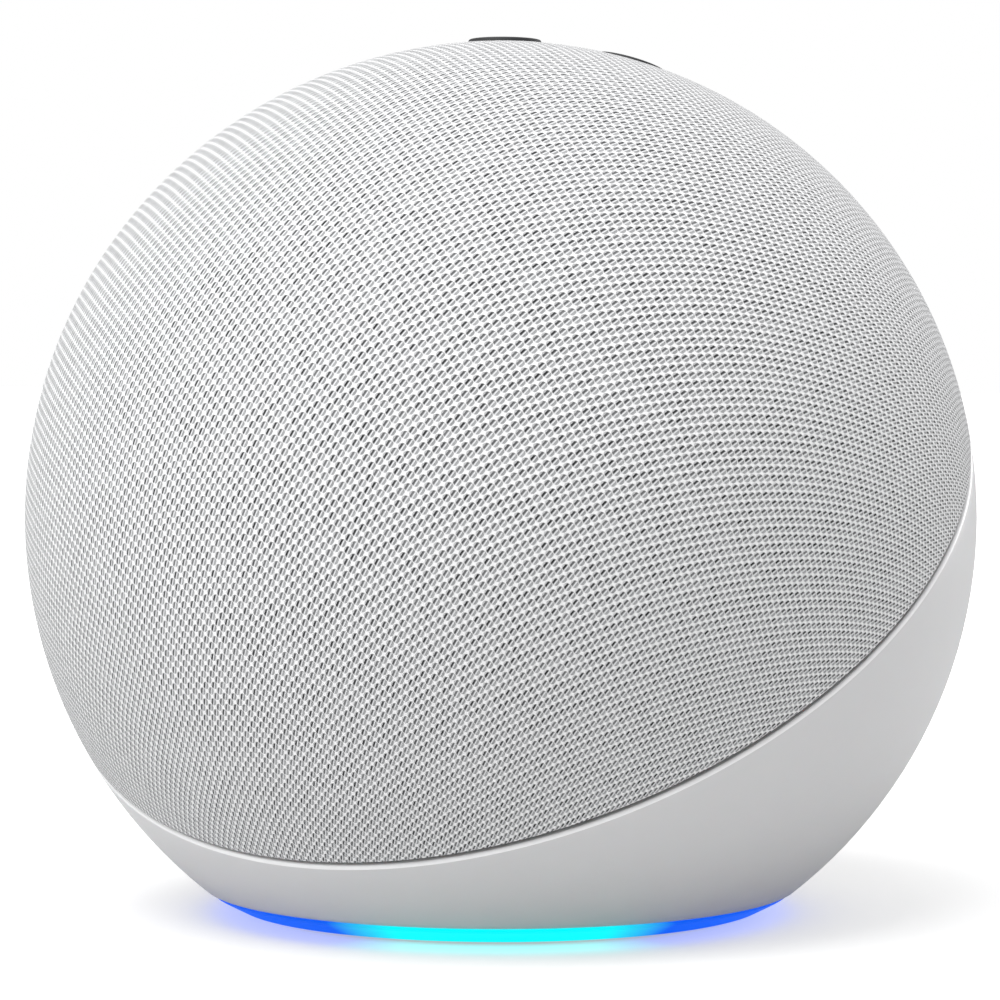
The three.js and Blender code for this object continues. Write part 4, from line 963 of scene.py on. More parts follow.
    def map_stitches(self, obj: bpy.types.Object) -> None:
        """Lays the stitches out from the pole, as a flat knit drawn down over a ball takes them.

        Args:
            obj: The cover.
        """
        mesh = obj.data
        points = placed(np.array([v.co for v in mesh.vertices]), SEAM_FRAME.inverted())
        unit = points / np.linalg.norm(points, axis=1)[:, None]
        down = np.arccos(np.clip(unit[:, 2], -1, 1))
        turn = np.arctan2(unit[:, 1], unit[:, 0])
        reach = BALL.radius * (down + self.ease * down ** 3)
        x, y = reach * np.cos(turn), reach * np.sin(turn)
        first = (x * math.cos(self.bias[0]) + y * math.sin(self.bias[0])) / self.stitch[0]
        second = (-x * math.sin(self.bias[1]) + y * math.cos(self.bias[1])) / self.stitch[1]
        corners = np.zeros(len(mesh.loops), np.int32)
        mesh.loops.foreach_get("vertex_index", corners)
        layer = mesh.uv_layers.new(name="stitches")
        layer.data.foreach_set("uv", np.stack([first[corners], second[corners]], 1).ravel())


# ---- Bowl --------------------------------------------------------------------------------


@dataclass
class Bowl:
    """The white bowl: a thin ball wall from the tilted seam down to its mouth, with a floor.

    Attributes:
        wall: Thickness of the wall.
        foot: Height of the mouth's edge.
        ledge: Width of the mouth's edge.
        collar: Thickness of the collar round the light ring.
        moat: Height of the moat between the collar and the wall.
        floor: Heights of the floor's two faces.
        bore: Radius of the floor's opening.
        lip: Width and height of the soft chamfer along the seam.
        columns: Steps round.
        rows: Steps up the wall.
        port_size: Width and height of the connector recess.
        port_height: Height of the connectors' axes.
        port_wall: Wall round the recess.
        edge: Width of the small chamfers.
        bulge: How far the lip swells between its edges.
    """

    wall: float = 2.6 * MM
    foot: float = 3.65 * MM
    ledge: float = 2.9 * MM
    collar: float = 2.2 * MM
    moat: float = 8 * MM
    floor: Point = (10.2 * MM, 12.2 * MM)
    bore: float = 22 * MM
    lip: Point = (0.5 * MM, 0.5 * MM)
    columns: int = 240
    rows: int = 28
    port_size: Point = (34 * MM, 12 * MM)
    port_height: float = 24 * MM
    port_wall: float = 2 * MM
    edge: float = 0.25 * MM
    bulge: float = 0.08 * MM

    def build(self) -> bpy.types.Object:
        """Makes the bowl with its recess and puts it in place of the CAD housing.

        Returns:
            The bowl.
        """
        obj = loft("bowl", self.rings(), closed=True, sharp=28)
        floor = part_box("port_panel")[0].y - FIT
        block = pill("port_block", self.port_size, self.port_wall, floor - self.port_wall,
                     BALL.radius, self.port_height)
        inside = [(r, BALL.centre + z) for z, r in arc(BALL.radius - 1 * MM, 0, math.pi, 96)]
        cut(block, [lathe("ball_space", inside, WORLD_FRAME, 192, closed=False)], "INTERSECT")
        cut(obj, [block], "UNION", 28)
        tools = [pill("port_space", self.port_size, 0, floor, BALL.radius, self.port_height)]
        for node in ("dc_jack", "aux_jack"):
            low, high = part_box(node)
            place = along_y((low.x + high.x) / 2, self.port_height)
            tools.append(drum(f"{node}_space", Connectors.NOSES[node] + FIT, low.y, floor + 1 * MM,
                              place, 48))
        cut(obj, tools, sharp=28)
        hand_over(obj, Finishes.BOWL, Body.CABINET.value, "rear_housing")
        self.paint_lip_highlight(obj)
        return obj

    def paint_lip_highlight(self, obj: bpy.types.Object) -> None:
        """Gives the chamfer along the seam its own finish: a whiter colour, which is a painted
        highlight, and a glossier surface.

        Args:
            obj: The bowl.
        """
        obj.data.materials.append(Finishes.LIP_HIGHLIGHT.build())
        to_seam = SEAM_FRAME.inverted()
        low = BALL.seam - BALL.seam_gap / 2 - self.lip[1]
        for face in obj.data.polygons:
            place = to_seam @ face.center
            if place.z > low and place.xy.length > BALL.radius - 1.5 * self.lip[0]:
                # The chamfer's faces take the whiter material, a painted highlight along the seam
                face.material_index = 1

    def circle(self, radius: float, height: float) -> Ring:
        """A level ring at a height above the table."""
        turn = np.linspace(0, 2 * math.pi, self.columns, endpoint=False)
        return np.stack([radius * np.cos(turn), radius * np.sin(turn),
                         np.full(self.columns, height)], 1)

    def seam_circle(self, radius: float, height: float) -> Ring:
        """A ring about the seam's axis, at a height along it."""
        return placed(self.circle(radius, height), SEAM_FRAME)

    def between(self, low: Ring, high: Ring, radius: float) -> list[Ring]:
        """Rings on a ball between two of its circles, by the shortest way.

        Args:
            low: The first ring.
            high: The last ring.
            radius: The ball's radius.

        Returns:
            The rings, with both ends.
        """
        middle = np.array([0, 0, BALL.centre])
        a, b = (low - middle) / radius, (high - middle) / radius
        angle = np.arccos(np.clip((a * b).sum(1), -1, 1))[:, None]
        return [middle + radius * (np.sin((1 - t) * angle) * a + np.sin(t * angle) * b) / np.sin(angle)
                for t in np.linspace(0, 1, self.rows)]

    def rings(self) -> list[Ring]:
        """The wall, ring by ring: outside, seam lip, inside, moat, collar and floor.

        Returns:
            The rings, in order along the section.
        """
        edge = self.edge
        brink = BALL.seam - BALL.seam_gap / 2
        outer, inner = BALL.radius, BALL.radius - self.wall
        mouth = chord(outer, BALL.centre - self.foot)
        low = self.circle(chord(outer, BALL.centre - self.foot - edge), self.foot + edge)
        width, drop = self.lip
        brow = chord(outer, brink - drop)
        high = self.seam_circle(brow, brink - drop)
        top_radius = chord(outer, brink) - width
        lip = []
        for t in (0.25, 0.5, 0.75):
            bulge = self.bulge * math.sin(math.pi * t)
            lip.append(self.seam_circle(brow + (top_radius - brow) * t + bulge,
                                        brink - drop * (1 - t) + bulge))
        inside = self.between(
            self.seam_circle(chord(inner, brink), brink),
            self.circle(chord(inner, BALL.centre - self.moat), self.moat),
            inner,
        )
        collar = mouth - self.ledge
        return [
            self.circle(collar, self.foot + edge),
            self.circle(collar + edge, self.foot),
            self.circle(mouth - edge, self.foot),
            *self.between(low, high, outer),
            *lip,
            self.seam_circle(top_radius, brink),
            self.seam_circle(top_radius - edge, brink),
            *inside,
            self.circle(collar + self.collar, self.moat),
            self.circle(collar + self.collar, self.floor[1]),
            self.circle(self.bore, self.floor[1]),
            self.circle(self.bore, self.floor[0]),
            self.circle(collar, self.floor[0]),
        ]


def along_y(x: float, z: float) -> Matrix:
    """A frame on the axis of a connector: its Z points to the rear."""
    return Matrix.Translation((x, 0, z)) @ Matrix.Rotation(-math.pi / 2, 4, "X")


def pill(name: str, size: Point, grow: float, front: float, rear: float, height: float,
         corner: float = 0.0) -> bpy.types.Object:
    """A slab with round ends, upright in X and Z.

    Args:
        name: The piece's name.
        size: Its width and height.
        grow: How much wider it is all round.
        front: The Y of its front.
        rear: The Y of its rear.
        height: The height of its middle.
        corner: Radius of the fillet round its rear face.

    Returns:
        The slab.
    """
    straight = (size[0] - size[1]) / 2
    levels = [(front, 0.0), (rear - corner, 0.0)]
    if corner:
        levels += [(rear - corner * (1 - math.sin(a)), corner * (1 - math.cos(a)))
                   for a in np.linspace(0.3, math.pi / 2, 4)]
    rings = []
    for y, inset in levels:
        radius = size[1] / 2 + grow - inset
        right = [(straight + radius * math.cos(a), radius * math.sin(a))
                 for a in np.linspace(-math.pi / 2, math.pi / 2, 33)]
        outline = right + [(-x, -z) for x, z in right]
        rings.append(np.array([(x, y, height + z) for x, z in outline]))
    return loft(name, rings, closed=False)


# ---- Base --------------------------------------------------------------------------------


@dataclass
class Base:
    """The light ring, the base plate, the rubber foot and the brass insert.

    Attributes:
        flare: How far the lit band slopes in.
        body: Width of the ring's body inside the bowl's collar.
        floor: Thickness of the base plate's floor.
        boss_wall: Wall of the boss round the insert.
        foot_width: Width of the rubber foot.
        groove: Distance from the foot's rim to its groove's inner side.
        screw: Radii of a screw's counterbore and of its hole.
        screw_seat: Depth of the counterbore below the foot's seat.
        nub_margin: Width of the foot's plain edges.
        insert_depth: Depth of the stand hole.
        soft: Radius of the small edges.
        nub: Radius and height of the foot's grip nubs.
        nub_rings: Rings of nubs.
        nub_pitch: Spacing of the nubs.
        thread_pitch: Pitch of the stand thread.
        thread_depth: Depth of the thread.
        hole: Radius of the thread's crests.
    """

    flare: float = 4.4 * MM
    body: float = 5.5 * MM
    floor: float = 4.2 * MM
    boss_wall: float = 2.2 * MM
    foot_width: float = 13 * MM
    groove: float = 13.3 * MM
    screw: Point = (2.6 * MM, 1.4 * MM)
    screw_seat: float = 1.5 * MM
    nub_margin: float = 1.6 * MM
    insert_depth: float = 6.2 * MM
    soft: float = 0.3 * MM
    nub: Point = (0.55 * MM, 0.25 * MM)
    nub_rings: int = 5
    nub_pitch: float = 2.3 * MM
    thread_pitch: float = 1.27 * MM
    thread_depth: float = 0.35 * MM
    hole: float = 2.8 * MM

    def build(self) -> None:
        """Makes the four pieces, each in place of its CAD node."""
        self.light_ring()
        self.base_plate()
        self.rubber_foot()
        self.stand_insert()

    def light_ring(self) -> None:
        """The lit band round the base, sloping in towards the table."""
        low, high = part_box("light_ring")
        lip = max(high.x, high.y, -low.y)
        collar = chord(BALL.radius, BALL.centre - Bowl.foot) - Bowl.ledge - FIT
        top = Bowl.foot - FIT
        outline = rounded([
            (collar - self.body, low.z), (lip - self.flare, low.z), (lip, top),
            (collar, top), (collar, high.z), (collar - self.body, high.z),
        ], self.soft)
        obj = lathe("light_ring_diffuser", outline, WORLD_FRAME, 192)
        hand_over(obj, Finishes.LIGHT, Body.CABINET.value, "light_ring")

    def base_plate(self) -> None:
        """The white plate that closes the base, with a groove for the foot."""
        low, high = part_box("base_plate")
        foot_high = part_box("rubber_foot")[1]
        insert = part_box("stand_insert")[1].x + FIT
        inner = foot_high.x - self.groove
        seat = foot_high.z + FIT
        plate_top = low.z + self.floor
        outline = rounded([
            (insert, low.z), (inner, low.z), (inner, seat), (foot_high.x + FIT, seat),
            (foot_high.x + FIT, low.z), (high.x, low.z), (high.x, plate_top),
            (insert + self.boss_wall, plate_top), (insert + self.boss_wall, high.z),
            (insert, high.z),
        ], self.soft)
        obj = lathe("base_plate_moulding", outline, WORLD_FRAME, 144)
        foot_middle = (foot_high.x + inner + FIT) / 2
        head, shank = self.screw
        step, end = seat + self.screw_seat, plate_top + 1 * MM
        holes = []
        for index in range(4):
            turn = math.pi / 4 + index * math.pi / 2
            place = Matrix.Translation((foot_middle * math.cos(turn), foot_middle * math.sin(turn), 0))
            holes.append(lathe(f"screw_space_{index}", [
                (0, 0), (head, 0), (head, step), (shank, step), (shank, end), (0, end),
            ], place, 32, closed=False))
        cut(obj, holes)
        hand_over(obj, Finishes.BASE, Body.CABINET.value, "base_plate")

    def rubber_foot(self) -> None:
        """The foot ring, which stands on rings of small round nubs."""
        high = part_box("rubber_foot")[1]
        inner = high.x - self.foot_width
        outline = rounded([
            (inner, self.nub[1]), (high.x, self.nub[1]), (high.x, high.z), (inner, high.z),
        ], self.soft)
        obj = lathe("foot_ring", outline, WORLD_FRAME, 144)
        hand_over(obj, Finishes.RUBBER, Body.CABINET.value, "rubber_foot")
        nubs = NubField(*self.nub, self.nub_pitch, inner + self.nub_margin,
                        high.x - self.nub_margin, self.nub_rings).build("foot_nubs")
        hand_over(nubs, Finishes.RUBBER, Body.CABINET.value)

    def stand_insert(self) -> None:
        """The brass insert with its stand thread."""
        low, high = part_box("stand_insert")
        depth = low.z + self.insert_depth
        turns = int((depth - low.z - 0.6 * MM) / self.thread_pitch * 2)
        crest, root = self.hole, self.hole + self.thread_depth
        thread = [((crest, root)[i % 2], low.z + 0.5 * MM + i * self.thread_pitch / 2)
                  for i in range(turns, -1, -1)]
        outline = [(0, depth), (crest, depth), *thread, (root + 0.2 * MM, low.z),
                   (high.x - self.soft, low.z), (high.x, low.z + self.soft),
                   (high.x, high.z), (0, high.z)]
        obj = lathe("threaded_insert", outline, WORLD_FRAME, 64, closed=False, sharp=25)
        hand_over(obj, Finishes.BRASS, Body.CABINET.value, "stand_insert")


@dataclass
class NubField:
    """Rings of small round nubs on a level face, made by a node tree.

    Attributes:
        radius: Radius of a nub.
        height: Height of a nub.
        pitch: Spacing along a ring.
        inner: Radius of the innermost ring.
        outer: Radius of the outermost ring.
        rings: Number of rings.
    """

    radius: float
    height: float
    pitch: float
    inner: float
    outer: float
    rings: int

    def build(self, name: str) -> bpy.types.Object:
        """Makes the nubs as one plain mesh, standing up from the table.

        Args:
            name: The piece's name.

        Returns:
            The new object.
        """
        obj = new_object(name, bpy.data.meshes.new(name))
        for ring in range(self.rings):
            radius = self.inner + (self.outer - self.inner) * ring / (self.rings - 1)
            step = obj.modifiers.new(f"ring_{ring}", "NODES")
            step.node_group = self.tree()
            values = {"Ring Radius": radius, "Count": int(2 * math.pi * radius / self.pitch),
                      "Nub Radius": self.radius, "Nub Height": self.height}
            for item in step.node_group.interface.items_tree:
                if item.name in values:
                    step[item.identifier] = values[item.name]
        return applied(obj)

    def tree(self) -> bpy.types.NodeTree:
        """The tree that adds one ring of nubs to the geometry that it is given.

        Returns:
            The tree, new or already made.
        """
        if "nub_ring" in bpy.data.node_groups:
            return bpy.data.node_groups["nub_ring"]
        tree = bpy.data.node_groups.new("nub_ring", "GeometryNodeTree")
        for name, kind in (("Geometry", "Geometry"), ("Ring Radius", "Float"), ("Count", "Int"),
                           ("Nub Radius", "Float"), ("Nub Height", "Float")):
            tree.interface.new_socket(name, in_out="INPUT", socket_type=f"NodeSocket{kind}")
        tree.interface.new_socket("Geometry", in_out="OUTPUT", socket_type="NodeSocketGeometry")
        given = add_node(tree, "NodeGroupInput")
        circle = add_node(tree, "GeometryNodeMeshCircle", {
            "Vertices": given.outputs["Count"], "Radius": given.outputs["Ring Radius"],
        })
        tip = add_node(tree, "ShaderNodeMath", {0: given.outputs["Nub Radius"], 1: 0.7},
                       operation="MULTIPLY")
        nub = add_node(tree, "GeometryNodeMeshCone", {
            "Vertices": 10, "Radius Top": given.outputs["Nub Radius"],
            "Radius Bottom": tip.outputs[0], "Depth": given.outputs["Nub Height"],
        })
        spread = add_node(tree, "GeometryNodeInstanceOnPoints", {
            "Points": circle.outputs[0], "Instance": nub.outputs[0],
        })
        both = add_node(tree, "GeometryNodeJoinGeometry", {0: given.outputs["Geometry"]})
        tree.links.new(spread.outputs[0], both.inputs[0])
        solid = add_node(tree, "GeometryNodeRealizeInstances", {0: both.outputs[0]})
        dressed = add_node(tree, "GeometryNodeSetMaterial", {
            "Geometry": solid.outputs[0], "Material": Finishes.RUBBER.build(),
        })
        add_node(tree, "NodeGroupOutput", {0: dressed.outputs[0]})
        return tree


# ---- Connectors --------------------------------------------------------------------------


@dataclass
class Connectors:
    """The grey panel in the recess, the power jack and the audio jack.

    Attributes:
        NOSES: Radii of the jacks' noses.
        BORES: Radii of the jacks' bores.
        pin: Radius of the power jack's pin.
        set_back: How far a jack's body stands behind the panel.
        bore_end: How far a bore stops short of a jack's rear.
        pin_end: How far the pin stops short of the nose's end.
        soft: Radius of the small edges.
    """

    NOSES: ClassVar[dict[str, float]] = {"dc_jack": 4.6 * MM, "aux_jack": 3.2 * MM}
    BORES: ClassVar[dict[str, float]] = {"dc_jack": 3.1 * MM, "aux_jack": 1.8 * MM}
    pin: float = 1.05 * MM
    set_back: float = 2.6 * MM
    bore_end: float = 2.5 * MM
    pin_end: float = 1.2 * MM
    soft: float = 0.25 * MM

    def build(self) -> None:
        """Makes the panel and both jacks, each in place of its CAD node."""
        self.panel()
        for node in self.NOSES:
            self.jack(node)

    def panel(self) -> None:
        """A thin plate with round ends and a hole for each jack's nose."""
        low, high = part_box("port_panel")
        height = (low.z + high.z) / 2
        size = (high.x - low.x, high.z - low.z)
        obj = pill("port_panel_plate", size, 0, low.y, high.y, height, self.soft)
        tools = []
        for node, nose in self.NOSES.items():
            a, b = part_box(node)
            tools.append(drum(f"{node}_hole", nose + FIT, low.y - 1 * MM, high.y + 1 * MM,
                              along_y((a.x + b.x) / 2, height), 64))
        cut(obj, tools)
        hand_over(obj, Finishes.PANEL, Body.CABINET.value, "port_panel")

    def jack(self, node: str) -> None:
        """A jack: a moulded body on the board with a bored nose through the panel.

        Args:
            node: The jack's CAD node.
        """
        low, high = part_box(node)
        nose, bore = self.NOSES[node], self.BORES[node]
        middle = (low.x + high.x) / 2
        axis = along_y(middle, Bowl.port_height)
        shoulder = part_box("port_panel")[0].y - self.set_back
        points = [(x, y, z) for x in (low.x, high.x) for y in (low.y, shoulder)
                  for z in (low.z, high.z)]
        faces = [(0, 1, 3, 2), (4, 6, 7, 5), (0, 4, 5, 1), (2, 3, 7, 6), (0, 2, 6, 4), (1, 5, 7, 3)]
        body = make_object(f"{node}_moulding", points, faces)
        edges = body.modifiers.new("edges", "BEVEL")
        edges.width = self.soft
        edges.segments = 3
        applied(body)
        root, tip = shoulder - 1 * MM, high.y
        barrel = lathe(f"{node}_nose", [(0, root), (nose, root), (nose, tip - self.soft),
                                        (nose - self.soft, tip), (0, tip)], axis, 64, closed=False)
        back = low.y + self.bore_end
        hollow = lathe(f"{node}_bore", [(0, back), (bore, back), (bore, tip - self.soft),
                                        (bore + 2 * self.soft, tip + self.soft),
                                        (0, tip + self.soft)], axis, 48, closed=False)
        cut(body, [barrel], "UNION")
        cut(body, [hollow])
        hand_over(body, Finishes.INNER, Body.CABINET.value, node)
        self.contact(node, axis, back, tip)

    def contact(self, node: str, axis: Matrix, back: float, tip: float) -> None:
        """The metal inside a jack: a pin for power, a sleeve for audio.

        Args:
            node: The jack's CAD node.
            axis: The jack's frame.
            back: The Y of the bore's end.
            tip: The Y of the nose's end.
        """
        if node == "dc_jack":
            end = tip - self.pin_end
            outline = [(0, back), (self.pin, back), (self.pin, end - self.pin / 2),
                       (self.pin * 0.6, end), (0, end)]
            obj = lathe("dc_pin", outline, axis, 32, closed=False)
        else:
            outer = self.BORES[node] - 0.02 * MM
            outline = rounded([(outer - 0.25 * MM, back + 0.5 * MM), (outer, back + 0.5 * MM),
                               (outer, tip - 0.7 * MM), (outer - 0.25 * MM, tip - 0.7 * MM)],
                              0.05 * MM, 2)
            obj = lathe("aux_sleeve", outline, axis, 48)
        hand_over(obj, Finishes.STEEL, Body.CABINET.value)


# ---- Button pad --------------------------------------------------------------------------


@dataclass
class ButtonPad:
    """Four round buttons with printed marks: a dot, a plus, a minus and a struck ring.

    Attributes:
        radius: Radius of a button.
        lip: Extra radius of its retaining lip.
        circle: Radius of the circle that the buttons stand on.
        proud: How far a button stands out of the ball.
        soft: Radius of a button's edge.
        stem: Radius of the stem.
        mark: Half size of a printed mark.
        stroke: Half width of a mark's strokes.
        ink: Thickness of the ink.
        around: Steps round a button.
    """

    radius: float = 5.5 * MM
    lip: float = 1.1 * MM
    circle: float = 14.2 * MM
    proud: float = 0.63 * MM
    soft: float = 0.24 * MM
    stem: float = 1.3 * MM
    mark: float = 1.6 * MM
    stroke: float = 0.22 * MM
    ink: float = 0.04 * MM
    around: int = 64

    def build(self) -> None:
        """Makes each button with its mark, in place of its CAD node."""
        for key in Key:
            self.button(key)
            self.print_mark(key)

    def middle(self, key: Key) -> Vector:
        """A button's middle in the pad's plane."""
        return Vector((math.cos(key.angle), math.sin(key.angle))) * self.circle

    def crown(self, x: float | np.ndarray, y: float | np.ndarray) -> float | np.ndarray:
        """Height of the buttons' common crown above the ball's centre, in the pad's frame."""
        return np.sqrt((BALL.radius + self.proud) ** 2 - x ** 2 - y ** 2)

    def button(self, key: Key) -> None:
        """One button: a crowned cap with a soft edge, a lip and a stem.

        Args:
            key: Which button it is.
        """
        points = np.array([v.co for v in frame["nodes"][key.node].data.vertices])
        local = placed(points, PAD_FRAME.inverted())
        middle = self.middle(key)
        away = np.hypot(local[:, 0] - middle.x, local[:, 1] - middle.y)
        stem_end = local[:, 2].min()
        wide = local[away > self.radius + self.lip / 2]
        lip_low, lip_high = wide[:, 2].min(), wide[:, 2].max()
        # Rings from the stem's end up; the top rings follow the crown less a drop
        rings = [(0.0, stem_end), (self.stem, stem_end), (self.stem, lip_low),
                 (self.radius + self.lip, lip_low), (self.radius + self.lip, lip_high),
                 (self.radius, lip_high)]
        tops = [(self.radius, self.soft)]
        tops += [(self.radius - self.soft * (1 - math.cos(a)), self.soft * (1 - math.sin(a)))
                 for a in np.linspace(0.3, math.pi / 2, 5)]
        tops += [(self.radius * share, 0.0) for share in (0.75, 0.5, 0.25, 0.0)]
        turn = np.linspace(0, 2 * math.pi, self.around, endpoint=False)
        built = []
        for step, (r, level) in enumerate(rings + tops):
            x, y = middle.x + r * np.cos(turn), middle.y + r * np.sin(turn)
            z = np.full(self.around, level) if step < len(rings) else self.crown(x, y) - level
            built.append(placed(np.stack([x, y, z], 1), PAD_FRAME))
        obj = loft(f"{key.node}_cap", built, closed=False)
        hand_over(obj, Finishes.BUTTON, key.node, key.node)

    def print_mark(self, key: Key) -> None:
        """The mark printed on one button.

        Args:
            key: Which button it is.
        """
        shapes = {
            Key.ACTION: [self.ring_of(self.mark * 0.45, 0)],
            Key.VOLUME_UP: [self.cross()],
            Key.VOLUME_DOWN: [self.bar(self.mark, 0)],
            Key.MIC_MUTE: [self.ring_of(self.mark, self.mark - 2 * self.stroke),
                           self.bar(self.mark * 0.62, math.radians(45))],
        }[key]
        points: list[np.ndarray] = []
        faces: list[tuple[int, ...]] = []
        for outer, inner in shapes:
            self.add_prism(points, faces, outer, inner, self.middle(key))
        obj = make_object(f"{key.node}_mark", np.concatenate(points), faces)
        hand_over(obj, Finishes.INK, key.node)

    def add_prism(self, points: list, faces: list, outer: np.ndarray, inner: np.ndarray | None,
                  middle: Vector) -> None:
        """Adds a thin printed shape that follows the button's crown.

        Args:
            points: The mark's points so far.
            faces: The mark's faces so far.
            outer: The shape's outline.
            inner: The outline of its opening, with as many points, if it has one.
            middle: The button's middle.
        """
        start = sum(len(p) for p in points)
        count = len(outer)
        for outline in (outer,) if inner is None else (outer, inner):
            for lift in (self.ink, -self.ink):
                x, y = outline[:, 0] + middle.x, outline[:, 1] + middle.y
                points.append(placed(np.stack([x, y, self.crown(x, y) + lift], 1), PAD_FRAME))
        top, low = start, start + count
        sides = [(top, low)] if inner is None else [(top, low), (low + 2 * count, top + 2 * count)]
        if inner is None:
            faces.append(tuple(range(top, top + count)))
            faces.append(tuple(range(low, low + count))[::-1])
        else:
            sides += [(top + 2 * count, top), (low, low + 2 * count)]
        for a, b in sides:
            faces.extend((a + i, b + i, b + (i + 1) % count, a + (i + 1) % count) for i in range(count))

    def ring_of(self, outer: float, inner: float) -> tuple[np.ndarray, np.ndarray | None]:
        """A disc, or a ring where the inner radius isn't nought.

        Args:
            outer: Its outer radius.
            inner: Its inner radius.

        Returns:
            The outline, and the opening's outline if it has one.
        """
        turn = np.linspace(0, 2 * math.pi, 48, endpoint=False)
        unit = np.stack([np.cos(turn), np.sin(turn)], 1)
        return unit * outer, unit * inner if inner else None

    def bar(self, half: float, turn: float) -> tuple[np.ndarray, None]:
        """A bar with round ends, turned by an angle.

        Args:
            half: Half its length.
            turn: The angle, in radians.

        Returns:
            The outline, and no opening.
        """
        end = [(half - self.stroke + self.stroke * math.cos(a), self.stroke * math.sin(a))
               for a in np.linspace(-math.pi / 2, math.pi / 2, 9)]
        outline = np.array(end + [(-x, -y) for x, y in end])
        spin = np.array([[math.cos(turn), math.sin(turn)], [-math.sin(turn), math.cos(turn)]])
        return outline @ spin, None

    def cross(self) -> tuple[np.ndarray, None]:
        """A plus sign as one outline.

        Returns:
            The outline, and no opening.
        """
        long, short = self.mark, self.stroke
        quarter = [(long, -short), (long, short), (short, short)]
        points = []
        for turn in range(4):
            c, s = round(math.cos(turn * math.pi / 2)), round(math.sin(turn * math.pi / 2))
            points += [(c * x - s * y, s * x + c * y) for x, y in quarter]
        return np.array(points), None


# ---- Drivers -----------------------------------------------------------------------------


@dataclass
class Suspension:
    """A flexible ring between the basket and the cone, made as equal sectors.

    Attributes:
        node: The CAD node that the sectors stand for.
        finish: The finish.
        fixed: Radius from which the ring keeps still; not used.
        moving: Radius within which it follows the cone; not used.
        outline: Gives the ring's section.
        sectors: Number of sectors.
        steps: Steps round a sector.
    """

    node: str
    finish: Finish
    fixed: float
    moving: float
    outline: Callable[[], list[Point]]
    sectors: int = 12
    steps: int = 6

    def build(self) -> None:
        """Makes the sectors, in place of the CAD node."""
        section = self.outline()
        for index in range(self.sectors):
            start = 2 * math.pi * index / self.sectors
            turn = np.linspace(start, start + 2 * math.pi / self.sectors, self.steps + 1)
            rings = [placed(np.array([(r * math.cos(a), r * math.sin(a), z) for r, z in section]),
                            SEAM_FRAME) for a in turn]
            obj = loft(f"{self.node}_sector_{index + 1}", rings, closed=False)
            obj.data.materials.append(self.finish.build())
            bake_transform(obj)
            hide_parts(self.node)
        log.info("%s: %d sectors in %s", self.node, self.sectors, self.finish.name)


def heights_of(node: str) -> tuple[float, float]:
    """Lowest and highest place of a CAD node along the seam's axis.

    Args:
        node: The CAD node.

    Returns:
        Both heights above the ball's centre.
    """
    points = np.array([v.co for v in frame["nodes"][node].data.vertices])
    along = placed(points, SEAM_FRAME.inverted())[:, 2]
    return float(along.min()), float(along.max())


def surround_outline() -> list[Point]:
    """Section of the surround: a half roll between two flat lands.

    Returns:
        The section's (radius, height) points.
    """
    low, high = heights_of("woofer_surround")
    middle, roll, wall = 31.1 * MM, high - low, 0.7 * MM
    upper = [(middle + r, low + z) for r, z in arc(roll, 0.28, math.pi - 0.28, 10)]
    under = [(middle + r, low + z) for r, z in arc(roll - wall, math.pi, 0, 10)]
    return [(36.0 * MM, low), (36.0 * MM, low + wall), *upper, (26.6 * MM, low + wall),
            (26.6 * MM, low), *under]


def spider_outline() -> list[Point]:
    """Section of the spider: three even waves.

    Returns:
        The section's (radius, height) points.
    """
    low, high = heights_of("spider")
    wall = 0.45 * MM
    rise = (high - low - wall) / 2
    radii = np.linspace(10.3 * MM, 19.2 * MM, 25)
    wave = [(r, low + rise * (1 - math.cos(2 * math.pi * 3 * i / 24))) for i, r in enumerate(radii)]
    return wave + [(r, z + wall) for r, z in reversed(wave)]


# ---- CAD nodes that stay -----------------------------------------------------------------


class Internals:
    """The CAD nodes whose shapes stay, each with the finish of what it really is."""

    FINISHES: dict[Finish, tuple[str, ...]] = {
        Finishes.INNER: (
            "grille_shell", "speaker_frame", "chamber_cup", "button_carrier",
            "tweeter_left_housing", "tweeter_right_housing",
            "tweeter_left_bracket", "tweeter_right_bracket",
        ),
        Finishes.STEEL: (
            *(f"{kind}_screw_{i}" for kind in ("base", "frame", "woofer") for i in (1, 2, 3, 4)),
            "io_screw_1", "io_screw_2", "processor_shield", "pole_piece", "magnet",
            *(f"switch_{key}" for key in ("mic_mute", "volume_up", "action", "volume_down")),
        ),
        Finishes.PRESSED: ("yoke", "woofer_basket"),
        Finishes.ALUMINIUM: ("heat_spreader",),
        Finishes.BOARD: ("light_board", "io_board", "main_board", "button_board"),
        Finishes.CONE: ("woofer_cone", "dust_cap"),
        Finishes.COPPER: ("voice_coil",),
        Finishes.FOAM: ("woofer_gasket",),
        Finishes.SILK: ("tweeter_left_dome", "tweeter_right_dome"),
        Finishes.FILM: ("aerial_left", "aerial_right", "button_cable"),
    }

    def build(self) -> None:
        """Dresses every CAD node that stays."""
        for finish, nodes in self.FINISHES.items():
            for node in nodes:
                mesh = frame["nodes"][node].data
                mesh.materials.clear()
                mesh.materials.append(finish.build())
            log.info("%d CAD nodes in %s", len(nodes), finish.name)


# ---- Studio ------------------------------------------------------------------------------


